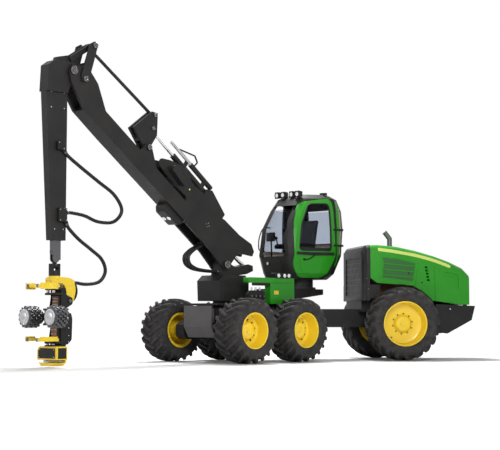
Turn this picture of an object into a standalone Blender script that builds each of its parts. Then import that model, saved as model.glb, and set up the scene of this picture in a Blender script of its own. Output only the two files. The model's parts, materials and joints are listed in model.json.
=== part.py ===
# Six-wheeled forestry harvester in metres: +X forward, +Y left, +Z up.
# The front half points along +X, and the rear half is turned about the middle joint.

import math

import bmesh
import bpy
from mathutils import Matrix, Vector

for leftover in list(bpy.data.objects):
    bpy.data.objects.remove(leftover)

# Measures of the whole machine
ORIGIN_X = 0.1895
ORIGIN_Y = -0.7251
SEAT = 0.0003
REST_TURN = math.radians(-34.5)
PIVOT_X = -1.956

# Wheels
FRONT_R = 0.67
FRONT_W = 0.66
FRONT_Y = 1.12
FRONT_X = 0.76
FRONT_RIM_R = 0.372
REAR_R = 0.80
REAR_W = 0.66
REAR_Y = 1.05
REAR_X = -2.107
REAR_RIM_R = 0.49

# Crane, in the plane y = 0
SLEW_X = 0.28
FOOT = (0.42, 2.04)
EAR = (-0.36, 1.98)
LIFT_EYE = (0.95, 2.85)
TIP = (4.45, 5.64)
KNEE = (4.20, 5.50)
KNEE_TOP = (3.97, 6.18)
LINK_EYE = (4.42, 5.89)
ROCKER_FOOT = (2.55, 4.33)
ROCKER_TOP = (2.32, 5.01)
ROCKER_EYE = (2.38, 4.74)
BRACKET_EYE = (0.83, 3.50)
STICK_LOW = (4.69, 2.39)
STICK_END = (4.72, 2.06)
CROSS_Z = 1.90
HEAD_X = 4.72
YOKE_Z = 1.60

COLOURS = {
    "green": (0.035, 0.30, 0.02),
    "yellow": (0.83, 0.60, 0.02),
    "charcoal": (0.055, 0.052, 0.055),
    "black": (0.018, 0.018, 0.018),
    "tyre": (0.045, 0.043, 0.046),
    "glass": (0.35, 0.40, 0.45),
    "steel": (0.55, 0.55, 0.56),
    "grey": (0.26, 0.25, 0.27),
    "seat": (0.03, 0.03, 0.035),
    "brown": (0.10, 0.06, 0.03),
}


def paint(obj, colour, metal=0.0, rough=0.5):
    mat = bpy.data.materials.new(obj.name)
    mat.use_nodes = True
    shader = mat.node_tree.nodes["Principled BSDF"]
    shader.inputs["Base Color"].default_value = (*COLOURS[colour], 1.0)
    shader.inputs["Metallic"].default_value = metal
    shader.inputs["Roughness"].default_value = rough
    obj.data.materials.clear()
    obj.data.materials.append(mat)


def solid(verts, faces):
    mesh = bpy.data.meshes.new("solid")
    work = bmesh.new()
    made = [work.verts.new(v) for v in verts]
    for face in faces:
        work.faces.new([made[i] for i in face])
    bmesh.ops.recalc_face_normals(work, faces=work.faces)
    if work.calc_volume(signed=True) < 0:
        bmesh.ops.reverse_faces(work, faces=work.faces)
    work.to_mesh(mesh)
    work.free()
    obj = bpy.data.objects.new("solid", mesh)
    bpy.context.scene.collection.objects.link(obj)
    return obj


def prism(points, low, high, plane="XZ"):
    """A polygon drawn in one plane and pushed along the third axis from low to high."""
    place = {
        "XZ": lambda a, b, c: (a, c, b),
        "XY": lambda a, b, c: (a, b, c),
        "YZ": lambda a, b, c: (c, a, b),
    }[plane]
    n = len(points)
    verts = [place(a, b, low) for a, b in points]
    verts += [place(a, b, high) for a, b in points]
    faces = [tuple(range(n)), tuple(range(2 * n - 1, n - 1, -1))]
    faces += [(i, (i + 1) % n, n + (i + 1) % n, n + i) for i in range(n)]
    return solid(verts, faces)


def block(x0, x1, y0, y1, z0, z1):
    return prism([(x0, z0), (x1, z0), (x1, z1), (x0, z1)], y0, y1)


def basis_for(axis):
    axis = Vector(axis).normalized()
    helper = Vector((0, 0, 1)) if abs(axis.z) < 0.9 else Vector((1, 0, 0))
    side = axis.cross(helper).normalized()
    return side, axis.cross(side).normalized(), axis


def turned(profile, centre, axis, steps=32):
    """A closed outline of (radius, along) turned about the axis. A radius of 0 is one point."""
    side, up, along = basis_for(axis)
    centre = Vector(centre)
    verts = []
    rings = []
    for radius, t in profile:
        if radius == 0:
            rings.append([len(verts)] * steps)
            verts.append(centre + along * t)
            continue
        rings.append(list(range(len(verts), len(verts) + steps)))
        for i in range(steps):
            a = 2 * math.pi * i / steps
            verts.append(centre + along * t + side * radius * math.cos(a) + up * radius * math.sin(a))
    faces = []
    for k in range(len(rings)):
        a, b = rings[k], rings[(k + 1) % len(rings)]
        for i in range(steps):
            j = (i + 1) % steps
            face = []
            for v in (a[i], a[j], b[j], b[i]):
                if v not in face:
                    face.append(v)
            if len(face) > 2:
                faces.append(tuple(face))
    return solid(verts, faces)


def rod(p, q, radius, steps=12):
    p, q = Vector(p), Vector(q)
    length = (q - p).length
    return turned([(0, 0), (radius, 0), (radius, length), (0, length)], p, q - p, steps)


def bore(point, radius, y0, y1):
    """The hole for a pin: its flats stay outside the pin at every angle."""
    return pin(point, radius / math.cos(math.pi / 12) + 0.0008, y0, y1)


def pin(point, radius, y0, y1, steps=12):
    return rod((point[0], y0, point[1]), (point[0], y1, point[1]), radius, steps)


def loft(rings):
    """Sections with the same count of points, joined in order and closed by both end faces."""
    n = len(rings[0])
    verts = [v for ring in rings for v in ring]
    faces = [tuple(range(n)), tuple(range(len(verts) - 1, len(verts) - n - 1, -1))]
    for k in range(len(rings) - 1):
        for i in range(n):
            j = (i + 1) % n
            faces.append((k * n + i, k * n + j, (k + 1) * n + j))
            faces.append((k * n + i, (k + 1) * n + j, (k + 1) * n + i))
    return solid(verts, faces)


def boolean(target, others, operation):
    group = bpy.data.collections.new("operands")
    bpy.context.scene.collection.children.link(group)
    for other in others:
        bpy.context.scene.collection.objects.unlink(other)
        group.objects.link(other)
    step = target.modifiers.new("step", "BOOLEAN")
    step.operand_type = "COLLECTION"
    step.collection = group
    step.operation = operation
    step.solver = "EXACT"
    bpy.context.view_layer.update()
    graph = bpy.context.evaluated_depsgraph_get()
    mesh = bpy.data.meshes.new_from_object(target.evaluated_get(graph))
    target.modifiers.clear()
    target.data = mesh
    for other in others:
        bpy.data.objects.remove(other)
    bpy.data.collections.remove(group)


def node(name, colour, solids, cuts=(), metal=0.0, rough=0.5):
    obj = solids[0]
    if len(solids) > 1:
        boolean(obj, list(solids[1:]), "UNION")
    if cuts:
        boolean(obj, list(cuts), "DIFFERENCE")
    obj.name = name
    obj.data.name = name
    paint(obj, colour, metal, rough)
    return obj


def joint(name, parent, place, turn=0.0):
    """An empty on a joint's axis, placed in world space while the machine is built."""
    empty = bpy.data.objects.new(name, None)
    bpy.context.scene.collection.objects.link(empty)
    world = Matrix.Translation(Vector(place)) @ Matrix.Rotation(turn, 4, "Z")
    FRAMES[name] = world
    if parent is not None:
        empty.parent = parent
        empty.matrix_local = FRAMES[parent.name].inverted() @ world
    else:
        empty.matrix_local = world
    return empty


def hang(parent, *objs):
    """Parts modelled in the machine's own frame, carried by an empty."""
    back = FRAMES[parent.name].inverted()
    for obj in objs:
        obj.data.transform(back)
        obj.parent = parent


def hang_rear(parent, *objs):
    """Parts modelled in the rear half's frame, carried by an empty."""
    back = FRAMES[parent.name].inverted() @ REAR
    for obj in objs:
        obj.data.transform(back)
        obj.parent = parent


def at_rear(x, y, z):
    return REAR @ Vector((x, y, z))


def crane_at(point, y=0.0):
    return (point[0], y, point[1])


def tilted(point, angle, a, b):
    """A point a along and b across a line that leaves the point at an angle."""
    return (
        point[0] + a * math.cos(angle) - b * math.sin(angle),
        point[1] + a * math.sin(angle) + b * math.cos(angle),
    )


FRAMES = {}
REAR = Matrix.Translation((PIVOT_X, 0, 0)) @ Matrix.Rotation(REST_TURN, 4, "Z")
front = joint("front_half", None, (0, 0, 0))
rear = joint("frame_joint", front, (PIVOT_X, 0, 0), REST_TURN)


# Tyres and rims
HUB_DEPTH = 0.34
DISC_INSET = 0.19
BEAD = 0.84


def hub_face(middle_y, width):
    """How far out the inner face of a wheel's hub lies."""
    return middle_y + width / 2 * BEAD - DISC_INSET - HUB_DEPTH


def tyre(name, radius, width, rim_r, middle, side):
    half = width / 2
    profile = [
        (rim_r, -half * 0.84),
        (rim_r + 0.05, -half * 0.93),
        (rim_r + 0.45 * (radius - rim_r), -half),
        (radius - 0.10, -half * 0.97),
        (radius - 0.02, -half * 0.84),
        (radius, -half * 0.5),
        (radius, half * 0.5),
        (radius - 0.02, half * 0.84),
        (radius - 0.10, half * 0.97),
        (rim_r + 0.45 * (radius - rim_r), half),
        (rim_r + 0.05, half * 0.93),
        (rim_r, half * 0.84),
    ]
    return node(name, "tyre", [turned(profile, middle, (0, side, 0), 28)], rough=0.9)


def rim(name, width, rim_r, hub_r, middle, side):
    seat = rim_r - SEAT
    half = width / 2 * BEAD
    disc = half - DISC_INSET
    profile = [
        (0, disc - HUB_DEPTH),
        (hub_r, disc - HUB_DEPTH),
        (hub_r, disc - 0.03),
        (seat - 0.06, disc - 0.03),
        (seat - 0.06, -half),
        (seat, -half),
        (seat, half),
        (seat - 0.025, half + 0.012),
        (seat - 0.05, half),
        (seat - 0.055, disc),
        (hub_r + 0.06, disc),
        (hub_r, disc + 0.05),
        (hub_r * 0.72, disc + 0.09),
        (0, disc + 0.09),
    ]
    return node(name, "yellow", [turned(profile, middle, (0, side, 0), 28)], rough=0.4)


# name, x, y, side, whether it is a wheel of the rear half
WHEELS = (
    ("front_left", FRONT_X, FRONT_Y, 1, False),
    ("front_right", FRONT_X, -FRONT_Y, -1, False),
    ("middle_left", -FRONT_X, FRONT_Y, 1, False),
    ("middle_right", -FRONT_X, -FRONT_Y, -1, False),
    ("rear_left", REAR_X, REAR_Y, 1, True),
    ("rear_right", REAR_X, -REAR_Y, -1, True),
)
for name, x, y, side, at_back in WHEELS:
    if at_back:
        middle = (x, y, REAR_R)
        axle = joint("wheel_" + name, rear, at_rear(*middle), REST_TURN)
        hang_rear(
            axle,
            tyre("tyre_" + name, REAR_R, REAR_W, REAR_RIM_R, middle, side),
            rim("rim_" + name, REAR_W, REAR_RIM_R, 0.185, middle, side),
        )
    else:
        middle = (x, y, FRONT_R)
        axle = joint("wheel_" + name, front, middle)
        hang(
            axle,
            tyre("tyre_" + name, FRONT_R, FRONT_W, FRONT_RIM_R, middle, side),
            rim("rim_" + name, FRONT_W, FRONT_RIM_R, 0.15, middle, side),
        )

# Front chassis
DECK_Z = 1.56
EAR_LOW = 0.87
EAR_HIGH = 1.13
frame_side = [
    (0.92, 0.80),
    (0.92, 1.14),
    (-0.72, 1.14),
    (-1.02, DECK_Z),
    (-2.38, DECK_Z),
    (-2.38, 1.44),
    (-1.55, 1.34),
    (-1.45, 0.72),
    (0.70, 0.72),
]
front_frame = node(
    "front_frame",
    "charcoal",
    [
        prism(frame_side, -0.40, 0.40),
        block(-0.30, 0.30, -0.60, 0.60, 0.48, 0.86),
        block(0.57, 0.98, -0.52, 0.52, 1.19, 1.23),
        block(0.60, 0.90, -0.20, 0.20, 1.10, 1.21),
        rod((SLEW_X, 0, 1.10), (SLEW_X, 0, 1.17), 0.44, 28),
        block(-2.17, -1.43, -0.16, 0.16, 0.80, EAR_LOW),
        block(-2.17, -1.43, -0.16, 0.16, EAR_HIGH, 1.20),
        block(-0.95, -0.35, 0.38, 0.70, 1.10, 1.2197),
        block(-0.95, -0.35, -0.70, -0.38, 1.10, 1.2197),
    ],
    cuts=[
        block(-1.40, 0.55, -0.36, 0.36, 0.60, 1.06),
        block(-2.30, -1.10, -0.36, 0.36, 1.30, 1.52),
        rod((PIVOT_X, 0, 0.7), (PIVOT_X, 0, 1.27), 0.0775, 20),
    ],
)
guard = node(
    "front_guard",
    "grey",
    [
        prism(
            [(0.93, 0.52), (1.06, 0.74), (1.06, 1.18), (1.03, 1.18), (1.03, 0.75), (0.93, 0.58)],
            -0.42,
            0.42,
        ),
        block(0.9203, 1.04, -0.36, -0.28, 0.82, 1.12),
        block(0.9203, 1.04, 0.28, 0.36, 0.82, 1.12),
    ],
)
hang(front, front_frame, guard)


def bogie(name, side):
    y0, y1 = sorted((side * 0.50, side * 0.74))
    beam = [(-1.0, 0.56), (-0.9, 0.48), (0.9, 0.48), (1.0, 0.56), (1.0, 0.78), (0.9, 0.86)]
    beam += [(0.3, 0.90), (-0.3, 0.90), (-0.9, 0.86), (-1.0, 0.78)]
    parts = [prism(beam, y0, y1)]
    for x in (-FRONT_X, FRONT_X):
        parts.append(rod((x, side * 0.70, FRONT_R), (x, side * (hub_face(FRONT_Y, FRONT_W) - SEAT), FRONT_R), 0.12, 20))
    cut = block(-0.3003, 0.3003, side * 0.5 - 0.1003, side * 0.5 + 0.1003, 0.4797, 0.8603)
    return node(name, "charcoal", parts, [cut])


hang(front, bogie("bogie_left", 1), bogie("bogie_right", -1))

# Green box with the working lamps, left of the crane's foot
tool_box = node(
    "tool_box",
    "green",
    [
        block(-1.04, -0.31, 0.61, 0.775, 1.22, 1.67),
        block(-1.04, 0.33, 0.61, 0.775, 1.66, 1.77),
    ],
)
hang(front, tool_box)

# Hinge line of the hood and its lugs
HOOD_HINGE = (-3.72, 1.26)
LUG_T = 0.05
LUGS_Y = (-0.58, 0.53)


def hinge_lug(y0, y1):
    x, z = HOOD_HINGE
    outline = [(-0.04, -0.08), (0.05, -0.08), (0.04, 0.01), (0, 0.04), (-0.04, 0.01)]
    return prism([(x + a, z + b) for a, b in outline], y0, y1)


# Rear chassis, in the rear half's frame
rear_hub = hub_face(REAR_Y, REAR_W) - SEAT
wing = [(-1.30, 1.30), (-1.30, 1.655), (-1.66, 1.655), (-1.66, 1.52), (-1.50, 1.36)]
rear_frame = node(
    "rear_frame",
    "charcoal",
    [
        block(-3.60, -0.45, -0.42, 0.42, 0.72, 1.12),
        block(-0.50, 0.16, -0.16, 0.16, 0.89, 1.11),
        rod((0, 0, 0.78), (0, 0, 1.22), 0.075, 20),
        rod((0, 0, EAR_LOW + SEAT), (0, 0, EAR_HIGH - SEAT), 0.13, 24),
        block(-1.50, -1.30, -0.66, 0.66, 1.06, 1.40),
        prism(wing, 0.80, 0.92),
        prism(wing, -0.92, -0.80),
        block(-1.33, -1.30, -0.90, 0.90, 1.30, 2.42),
        block(REAR_X - 0.2, REAR_X + 0.2, -0.68, 0.68, 0.60, 1.0),
        rod((REAR_X, -rear_hub, REAR_R), (REAR_X, rear_hub, REAR_R), 0.16, 20),
        prism(
            [(-3.84, 1.19), (-2.93, 1.23), (-3.02, 0.60), (-3.20, 0.58), (-3.76, 0.88)],
            -0.88,
            0.88,
        ),
        *[hinge_lug(y, y + LUG_T) for y in LUGS_Y],
    ],
    cuts=[
        block(-3.30, -0.90, -0.36, 0.36, 0.60, 1.06),
        block(-3.70, -2.99, -0.84, -0.46, 0.5, 1.17),
        block(-3.70, -2.99, 0.46, 0.84, 0.5, 1.17),
    ],
)
engine = node("engine_block", "brown", [block(-2.75, -1.62, -0.38, 0.38, 1.1203, 2.05)])
hang_rear(rear, rear_frame, engine)

# Hood: a shell that is lifted about its lower rear edge
HOOD_T = 0.03


def hood_section(x, half, top, low, corner):
    """Outline of the hood across the machine, from the left low edge over the top."""
    out = [(x, half, low), (x, half, top - corner)]
    for i in range(1, 4):
        a = math.pi / 2 * i / 4
        out.append((x, half - corner + corner * math.cos(a), top - corner + corner * math.sin(a)))
    out.append((x, half - corner, top))
    return out + [(p[0], -p[1], p[2]) for p in reversed(out)]


# x, half width, top, low edge, corner radius
HOOD = (
    (-1.335, 0.92, 2.50, 1.70, 0.10),
    (-1.55, 0.95, 2.54, 1.69, 0.15),
    (-2.05, 0.95, 2.50, 1.66, 0.15),
    (-2.90, 0.93, 2.30, 1.60, 0.14),
    (-3.56, 0.88, 2.04, 1.50, 0.12),
    (-3.74, 0.85, 1.90, 1.40, 0.10),
)
hood_outer = loft([hood_section(x, h, t, low - 0.30, c) for x, h, t, low, c in HOOD])
hood_inner = loft(
    [hood_section(x, h - HOOD_T, t - HOOD_T, low - 0.40, c - 0.02) for x, h, t, low, c in HOOD[:5]]
    + [hood_section(-3.705, 0.83, 1.87, 1.0, 0.08)]
)
front_opening = block(-1.60, -1.30, -0.88, 0.88, 1.0, 2.44)
hood_low = prism(
    [(-1.2, 1.69), (-2.39, 1.63), (-2.60, 1.52), (-2.80, 1.36), (-2.90, 1.24), (-3.9, 1.21), (-3.9, 0.8), (-1.2, 0.8)],
    -1.2,
    1.2,
)
lug_slots = [block(-3.80, -3.60, y - SEAT, y + LUG_T + SEAT, 1.0, HOOD_HINGE[1] + 0.055) for y in LUGS_Y]
hood = node("hood", "green", [hood_outer], cuts=[hood_inner, hood_low, front_opening, *lug_slots])
hood_joint = joint("hood_hinge", rear, at_rear(HOOD_HINGE[0], 0, HOOD_HINGE[1]), REST_TURN)
PIPE = (-2.02, 0.42)
PIPE_R = 0.055


def hood_top(x):
    """Height of the hood's middle at a place along it."""
    for (x0, _, top0, _, _), (x1, _, top1, _, _) in zip(HOOD, HOOD[1:]):
        if x1 <= x <= x0:
            return top0 + (top1 - top0) * (x0 - x) / (x0 - x1)
    return HOOD[-1][2]


pipe_low = hood_top(PIPE[0] + PIPE_R) + SEAT
exhaust = node(
    "exhaust_pipe",
    "steel",
    [
        rod((*PIPE, pipe_low), (*PIPE, pipe_low + 0.20), PIPE_R, 16),
        rod((*PIPE, pipe_low + 0.18), (PIPE[0] + 0.12, PIPE[1], pipe_low + 0.33), PIPE_R, 16),
    ],
    metal=1.0,
)
hang_rear(hood_joint, hood, exhaust)

# Cab turntable and cab
CAB_X = -1.95
turntable = node(
    "cab_turntable",
    "charcoal",
    [
        rod((CAB_X, 0, DECK_Z + SEAT), (CAB_X, 0, 1.60), 0.42, 28),
        rod((CAB_X, 0, 1.59), (CAB_X, 0, 1.7697), 0.36, 28),
    ],
)
hang(front, turntable)
cab_joint = joint("cab_slew", front, (CAB_X, 0, 1.76))

# Half outline of the cab seen from above: x, y
def cab_ring(z, nose, mid, tail, half, tail_half, nose_half):
    left = [
        (nose, nose_half),
        (nose - 0.14, nose_half + 0.10),
        (mid, half),
        (tail + 0.30, half),
        (tail + 0.05, tail_half + 0.06),
        (tail, tail_half),
    ]
    return [(x, y, z) for x, y in left] + [(x, -y, z) for x, y in reversed(left)]


# z, nose x, door front x, tail x, half width, half width at the tail, half width at the nose
CAB = (
    (1.77, -1.02, -1.35, -2.45, 0.62, 0.48, 0.30),
    (1.90, -0.95, -1.22, -2.58, 0.76, 0.56, 0.34),
    (2.30, -0.80, -1.08, -2.76, 0.80, 0.62, 0.38),
    (2.90, -0.98, -1.22, -2.80, 0.80, 0.62, 0.38),
    (3.30, -1.24, -1.46, -2.78, 0.77, 0.58, 0.34),
    (3.55, -1.52, -1.72, -2.68, 0.68, 0.50, 0.30),
    (3.66, -1.72, -1.90, -2.52, 0.50, 0.40, 0.22),
)
WALL = 0.05
cab_outer = loft([cab_ring(*row) for row in CAB])
cab_inner = loft(
    [
        cab_ring(z, n - WALL, m, t + WALL, h - WALL, th - WALL * 0.7, nh - WALL * 0.7)
        for z, n, m, t, h, th, nh in CAB[:-1]
    ][1:]
    + [cab_ring(3.61, -1.80, -1.95, -2.46, 0.44, 0.34, 0.18)]
)
DOOR = [(-1.28, 1.82), (-1.10, 2.05), (-1.13, 2.60), (-1.28, 3.02), (-1.52, 3.34), (-1.80, 3.48)]
DOOR += [(-2.30, 3.48), (-2.50, 3.30), (-2.56, 2.28), (-2.42, 2.16), (-2.12, 1.80)]
DOOR_GLASS = [(-1.22, 2.28), (-1.24, 2.62), (-1.38, 3.00), (-1.60, 3.28), (-1.84, 3.39)]
DOOR_GLASS += [(-2.26, 3.39), (-2.40, 3.24), (-2.46, 2.28)]
WIND = [(-0.45, 2.24), (-0.45, 3.46), (-1.58, 3.46), (-1.30, 3.05), (-1.04, 2.60), (-1.02, 2.24)]


def scaled(points, by, centre):
    return [(centre[0] + (x - centre[0]) * by, centre[1] + (z - centre[1]) * by) for x, z in points]


door_cut = prism(DOOR, 0.40, 1.0)
right_cut = prism(DOOR_GLASS, -1.0, -0.40)
wind_cut = prism(WIND, -0.70, 0.70)
rear_cut = block(-2.95, -2.60, -0.40, 0.40, 2.60, 3.35)
cab_shell = node("cab_shell", "black", [cab_outer], cuts=[cab_inner, door_cut, right_cut, wind_cut, rear_cut])
DOOR_HINGE = (-2.57, 0.81)
KNUCKLE_R = 0.022
KNUCKLE_H = 0.05
KNUCKLES_Z = (2.45, 2.80)


def knuckle(z, plate):
    """One half of a door hinge: a barrel on the hinge line with its plate."""
    x, y = DOOR_HINGE
    return [rod((x, y, z), (x, y, z + KNUCKLE_H), KNUCKLE_R, 16), block(*plate, z, z + KNUCKLE_H)]


shell_plate = (DOOR_HINGE[0] - 0.02, DOOR_HINGE[0] + 0.015, 0.73, DOOR_HINGE[1])
boolean(cab_shell, [half for z in KNUCKLES_Z for half in knuckle(z, shell_plate)], "UNION")
paint(cab_shell, "black")
hang(cab_joint, cab_shell)

door_joint = joint("cab_door_hinge", cab_joint, (*DOOR_HINGE, 2.8))
outer_skin = loft([cab_ring(*row) for row in CAB])
inner_skin = loft(
    [
        cab_ring(z, n - WALL, m, t + WALL, h - WALL, th - WALL * 0.7, nh - WALL * 0.7)
        for z, n, m, t, h, th, nh in CAB
    ]
)
door_keep = prism(scaled(DOOR, 0.985, (-1.8, 2.7)), 0.45, 1.0)


def both(first, second):
    boolean(first, [second], "INTERSECT")
    return first


door = node(
    "cab_door",
    "green",
    [both(outer_skin, door_keep)],
    cuts=[inner_skin, prism(DOOR_GLASS, 0.4, 1.0)],
)
door_plate = (DOOR_HINGE[0], -2.43, 0.79, DOOR_HINGE[1] + 0.015)
boolean(door, [half for z in KNUCKLES_Z for half in knuckle(z + KNUCKLE_H + SEAT, door_plate)], "UNION")
paint(door, "green")
hang(door_joint, door)

# Glass: one pane round the cab inside its openings, and one in the door
def glass_skin(depth, rows):
    return loft(
        [
            cab_ring(z, n - depth, m, t + depth, h - depth, th - depth * 0.7, nh - depth * 0.7)
            for z, n, m, t, h, th, nh in rows
        ]
    )


between = [row for row in CAB if 2.2 < row[0] < 3.56]
pane = glass_skin(WALL + SEAT, between)
cab_glass = node(
    "cab_glass",
    "glass",
    [pane],
    cuts=[
        glass_skin(WALL + 0.012, [(2.2,) + between[0][1:]] + between[1:-1] + [(3.7,) + between[-1][1:]]),
        prism(scaled(DOOR, 1.02, (-1.8, 2.7)), 0.05, 1.0),
        block(-3.0, -0.5, -1.0, 1.0, 3.32, 4.0),
    ],
    rough=0.05,
)
hang(cab_joint, cab_glass)
door_pane = both(glass_skin(0.015, CAB), prism(scaled(DOOR_GLASS, 0.998, (-1.84, 2.8)), 0.45, 1.0))
door_glass = node("door_glass", "glass", [door_pane], cuts=[glass_skin(0.023, CAB)], rough=0.05)
hang(door_joint, door_glass)

# Seat
seat = node(
    "seat",
    "seat",
    [
        block(-2.35, -1.75, -0.26, 0.26, 2.28, 2.42),
        prism([(-2.30, 2.35), (-2.20, 2.35), (-2.36, 3.15), (-2.46, 3.12)], -0.24, 0.24),
        block(-2.15, -1.95, -0.10, 0.10, 1.9003, 2.30),
        block(-2.15, -1.60, -0.36, -0.27 + 0.02, 2.50, 2.56),
        block(-2.15, -1.60, 0.27 - 0.02, 0.36, 2.50, 2.56),
        block(-2.15, -2.05, -0.34, -0.24, 2.38, 2.52),
        block(-2.15, -2.05, 0.24, 0.34, 2.38, 2.52),
    ],
)
hang(cab_joint, seat)

# Crane column
FOOT_GAP = 0.145
EAR_GAP = 0.065
column_joint = joint("crane_slew", front, (SLEW_X, 0, 1.18))
column = node(
    "crane_column",
    "charcoal",
    [
        rod((SLEW_X, 0, 1.1703), (SLEW_X, 0, 1.30), 0.25, 24),
        prism([(-0.10, 1.28), (0.74, 1.28), (0.76, 1.70), (0.62, 1.82), (0.0, 1.82), (-0.10, 1.70)], -0.34, 0.34),
        prism(
            [(0.0, 1.75), (0.60, 1.75), (0.50, 1.95), (0.50, 2.10), (0.42, 2.14), (0.30, 2.10), (0.06, 1.98)],
            -0.13,
            0.13,
        ),
        prism([(0.20, 1.80), (0.10, 2.0), (-0.30, 2.07), (-0.43, 2.04), (-0.44, 1.93), (-0.25, 1.86)], -0.13, 0.13),
        pin(FOOT, 0.05, -0.22, 0.22),
        pin(FOOT, 0.09, SEAT - FOOT_GAP, FOOT_GAP - SEAT, 16),
        pin(EAR, 0.03, -0.14, 0.14),
    ],
    cuts=[block(-0.6, -0.12, -EAR_GAP, EAR_GAP, 1.7, 2.2)],
)
hang(column_joint, column)

# Half widths of what turns on the crane's pins
LIFT_HALF = 0.05
JIB_HALF = 0.035
ROCKER_HALF = 0.10
ROCKER_IN = 0.04
KNEE_IN = 0.20
LINK_HALF = 0.095
LINK_IN = 0.055
TIP_GAP = 0.13


def spacers(point, radius, y0, y1, play=SEAT):
    """The two collars beside what turns on a pin."""
    return [pin(point, radius, y0 + play, y1, 16), pin(point, radius, -y1, -y0 - play, 16)]


# Boom
lift_joint = joint("boom_lift", column_joint, crane_at(FOOT))
boom_box = [(1.05, 2.46), (1.56, 2.88), (3.60, 4.44), (4.20, 4.92), (3.95, 5.16), (1.50, 3.26), (0.60, 3.02), (0.60, 2.60)]
boom_head = [
    (3.60, 4.44),
    (4.20, 4.92),
    (4.50, 5.40),
    (4.56, 5.62),
    (4.48, 5.76),
    (4.10, 5.74),
    (3.86, 5.45),
    (3.66, 4.93),
]
foot_plate = [
    (0.36, 1.94),
    (0.48, 1.94),
    (0.84, 2.30),
    (1.56, 2.86),
    (1.56, 3.40),
    (0.46, 2.98),
    (0.03, 2.68),
    (-0.33, 2.50),
    (-0.41, 2.34),
    (-0.36, 2.24),
    (0.06, 2.30),
    (0.26, 2.08),
]
boom = node(
    "boom",
    "charcoal",
    [
        prism(boom_box, -0.19, 0.19),
        prism(foot_plate, FOOT_GAP, 0.19),
        prism(foot_plate, -0.19, -FOOT_GAP),
        prism([(-0.10, 2.62), (-0.08, 2.56), (0.16, 2.70), (0.16, 2.77)], -0.16, 0.16),
        prism(boom_head, TIP_GAP, 0.19),
        prism(boom_head, -0.19, -TIP_GAP),
        prism([(2.30, 3.80), (2.80, 4.16), (2.62, 4.40), (2.48, 4.40)], 0.11, 0.17),
        prism([(2.30, 3.80), (2.80, 4.16), (2.62, 4.40), (2.48, 4.40)], -0.17, -0.11),
        prism([(0.60, 2.85), (1.20, 3.20), (0.92, 3.60), (0.76, 3.58), (0.40, 3.10)], 0.07, 0.13),
        prism([(0.60, 2.85), (1.20, 3.20), (0.92, 3.60), (0.76, 3.58), (0.40, 3.10)], -0.13, -0.07),
    ],
    cuts=[
        bore(FOOT, 0.05, -0.3, 0.3),
        prism([(0.30, 1.80), (1.55, 2.70), (1.55, 3.12), (0.90, 3.02), (0.20, 2.60)], -FOOT_GAP, FOOT_GAP),
        prism([(1.50, 2.90), (3.60, 4.50), (4.12, 4.94), (3.94, 5.08), (1.55, 3.23)], -0.17, 0.17),
        prism([(3.80, 5.30), (4.60, 5.30), (4.40, 4.96), (4.20, 4.90), (3.95, 5.14)], -TIP_GAP, TIP_GAP),
    ],
)
boolean(
    boom,
    [
        pin(LIFT_EYE, 0.035, -0.16, 0.16),
        *spacers(LIFT_EYE, 0.06, LIFT_HALF, 0.16),
        pin(BRACKET_EYE, 0.035, -0.12, 0.12),
        *spacers(BRACKET_EYE, 0.06, JIB_HALF, 0.10),
        pin(ROCKER_FOOT, 0.035, -0.16, 0.16),
        *spacers(ROCKER_FOOT, 0.06, ROCKER_HALF, 0.16),
        pin(KNEE, 0.04, -0.245, 0.245),
        *spacers(KNEE, 0.09, 0.16, KNEE_IN - SEAT, 0.0),
        pin(TIP, 0.05, -0.17, 0.17),
    ],
    "UNION",
)
paint(boom, "charcoal")
hang(lift_joint, boom)


def cylinder_pair(name, base, eye, barrel_r, rod_r, half, eye_half, travel, parent_base):
    """A barrel turning on the base pin, and a rod that can close by its travel, out to its open eye."""
    b = Vector((base[0], 0, base[1]))
    e = Vector((eye[0], 0, eye[1]))
    d = (e - b).normalized()
    length = (e - b).length
    barrel_len = length * 0.60
    bottom = 0.16
    barrel_joint = joint(name + "_barrel_pin", parent_base, b)
    barrel = node(
        name + "_barrel",
        "charcoal",
        [
            turned(
                [
                    (rod_r + SEAT, bottom),
                    (rod_r + SEAT, barrel_len),
                    (barrel_r, barrel_len),
                    (barrel_r, 0.09),
                    (barrel_r * 0.5, 0.09),
                    (barrel_r * 0.5, 0.12),
                    (0, 0.12),
                    (0, bottom),
                ][::-1],
                b,
                d,
                16,
            ),
            rod(b + d * 0.045, b + d * 0.13, half - 0.004, 12),
            pin(base, 0.075, -half, half, 16),
        ],
        cuts=[bore(base, 0.035, -half - 0.05, half + 0.05)],
    )
    rod_joint = joint(name + "_rod_slide", barrel_joint, b + d * (bottom + travel))
    cyl_rod = node(
        name + "_rod",
        "steel",
        [
            rod(b + d * (bottom + travel), e - d * 0.02, rod_r, 16),
            pin(eye, 0.07, -eye_half, eye_half, 16),
        ],
        metal=1.0,
        rough=0.2,
    )
    hang(barrel_joint, barrel)
    hang(rod_joint, cyl_rod)
    return barrel_joint, rod_joint


lift_barrel_joint, lift_rod_joint = cylinder_pair(
    "lift", LIFT_EYE, EAR, 0.075, 0.04, LIFT_HALF, EAR_GAP - SEAT, 0.24, lift_joint
)

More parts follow.
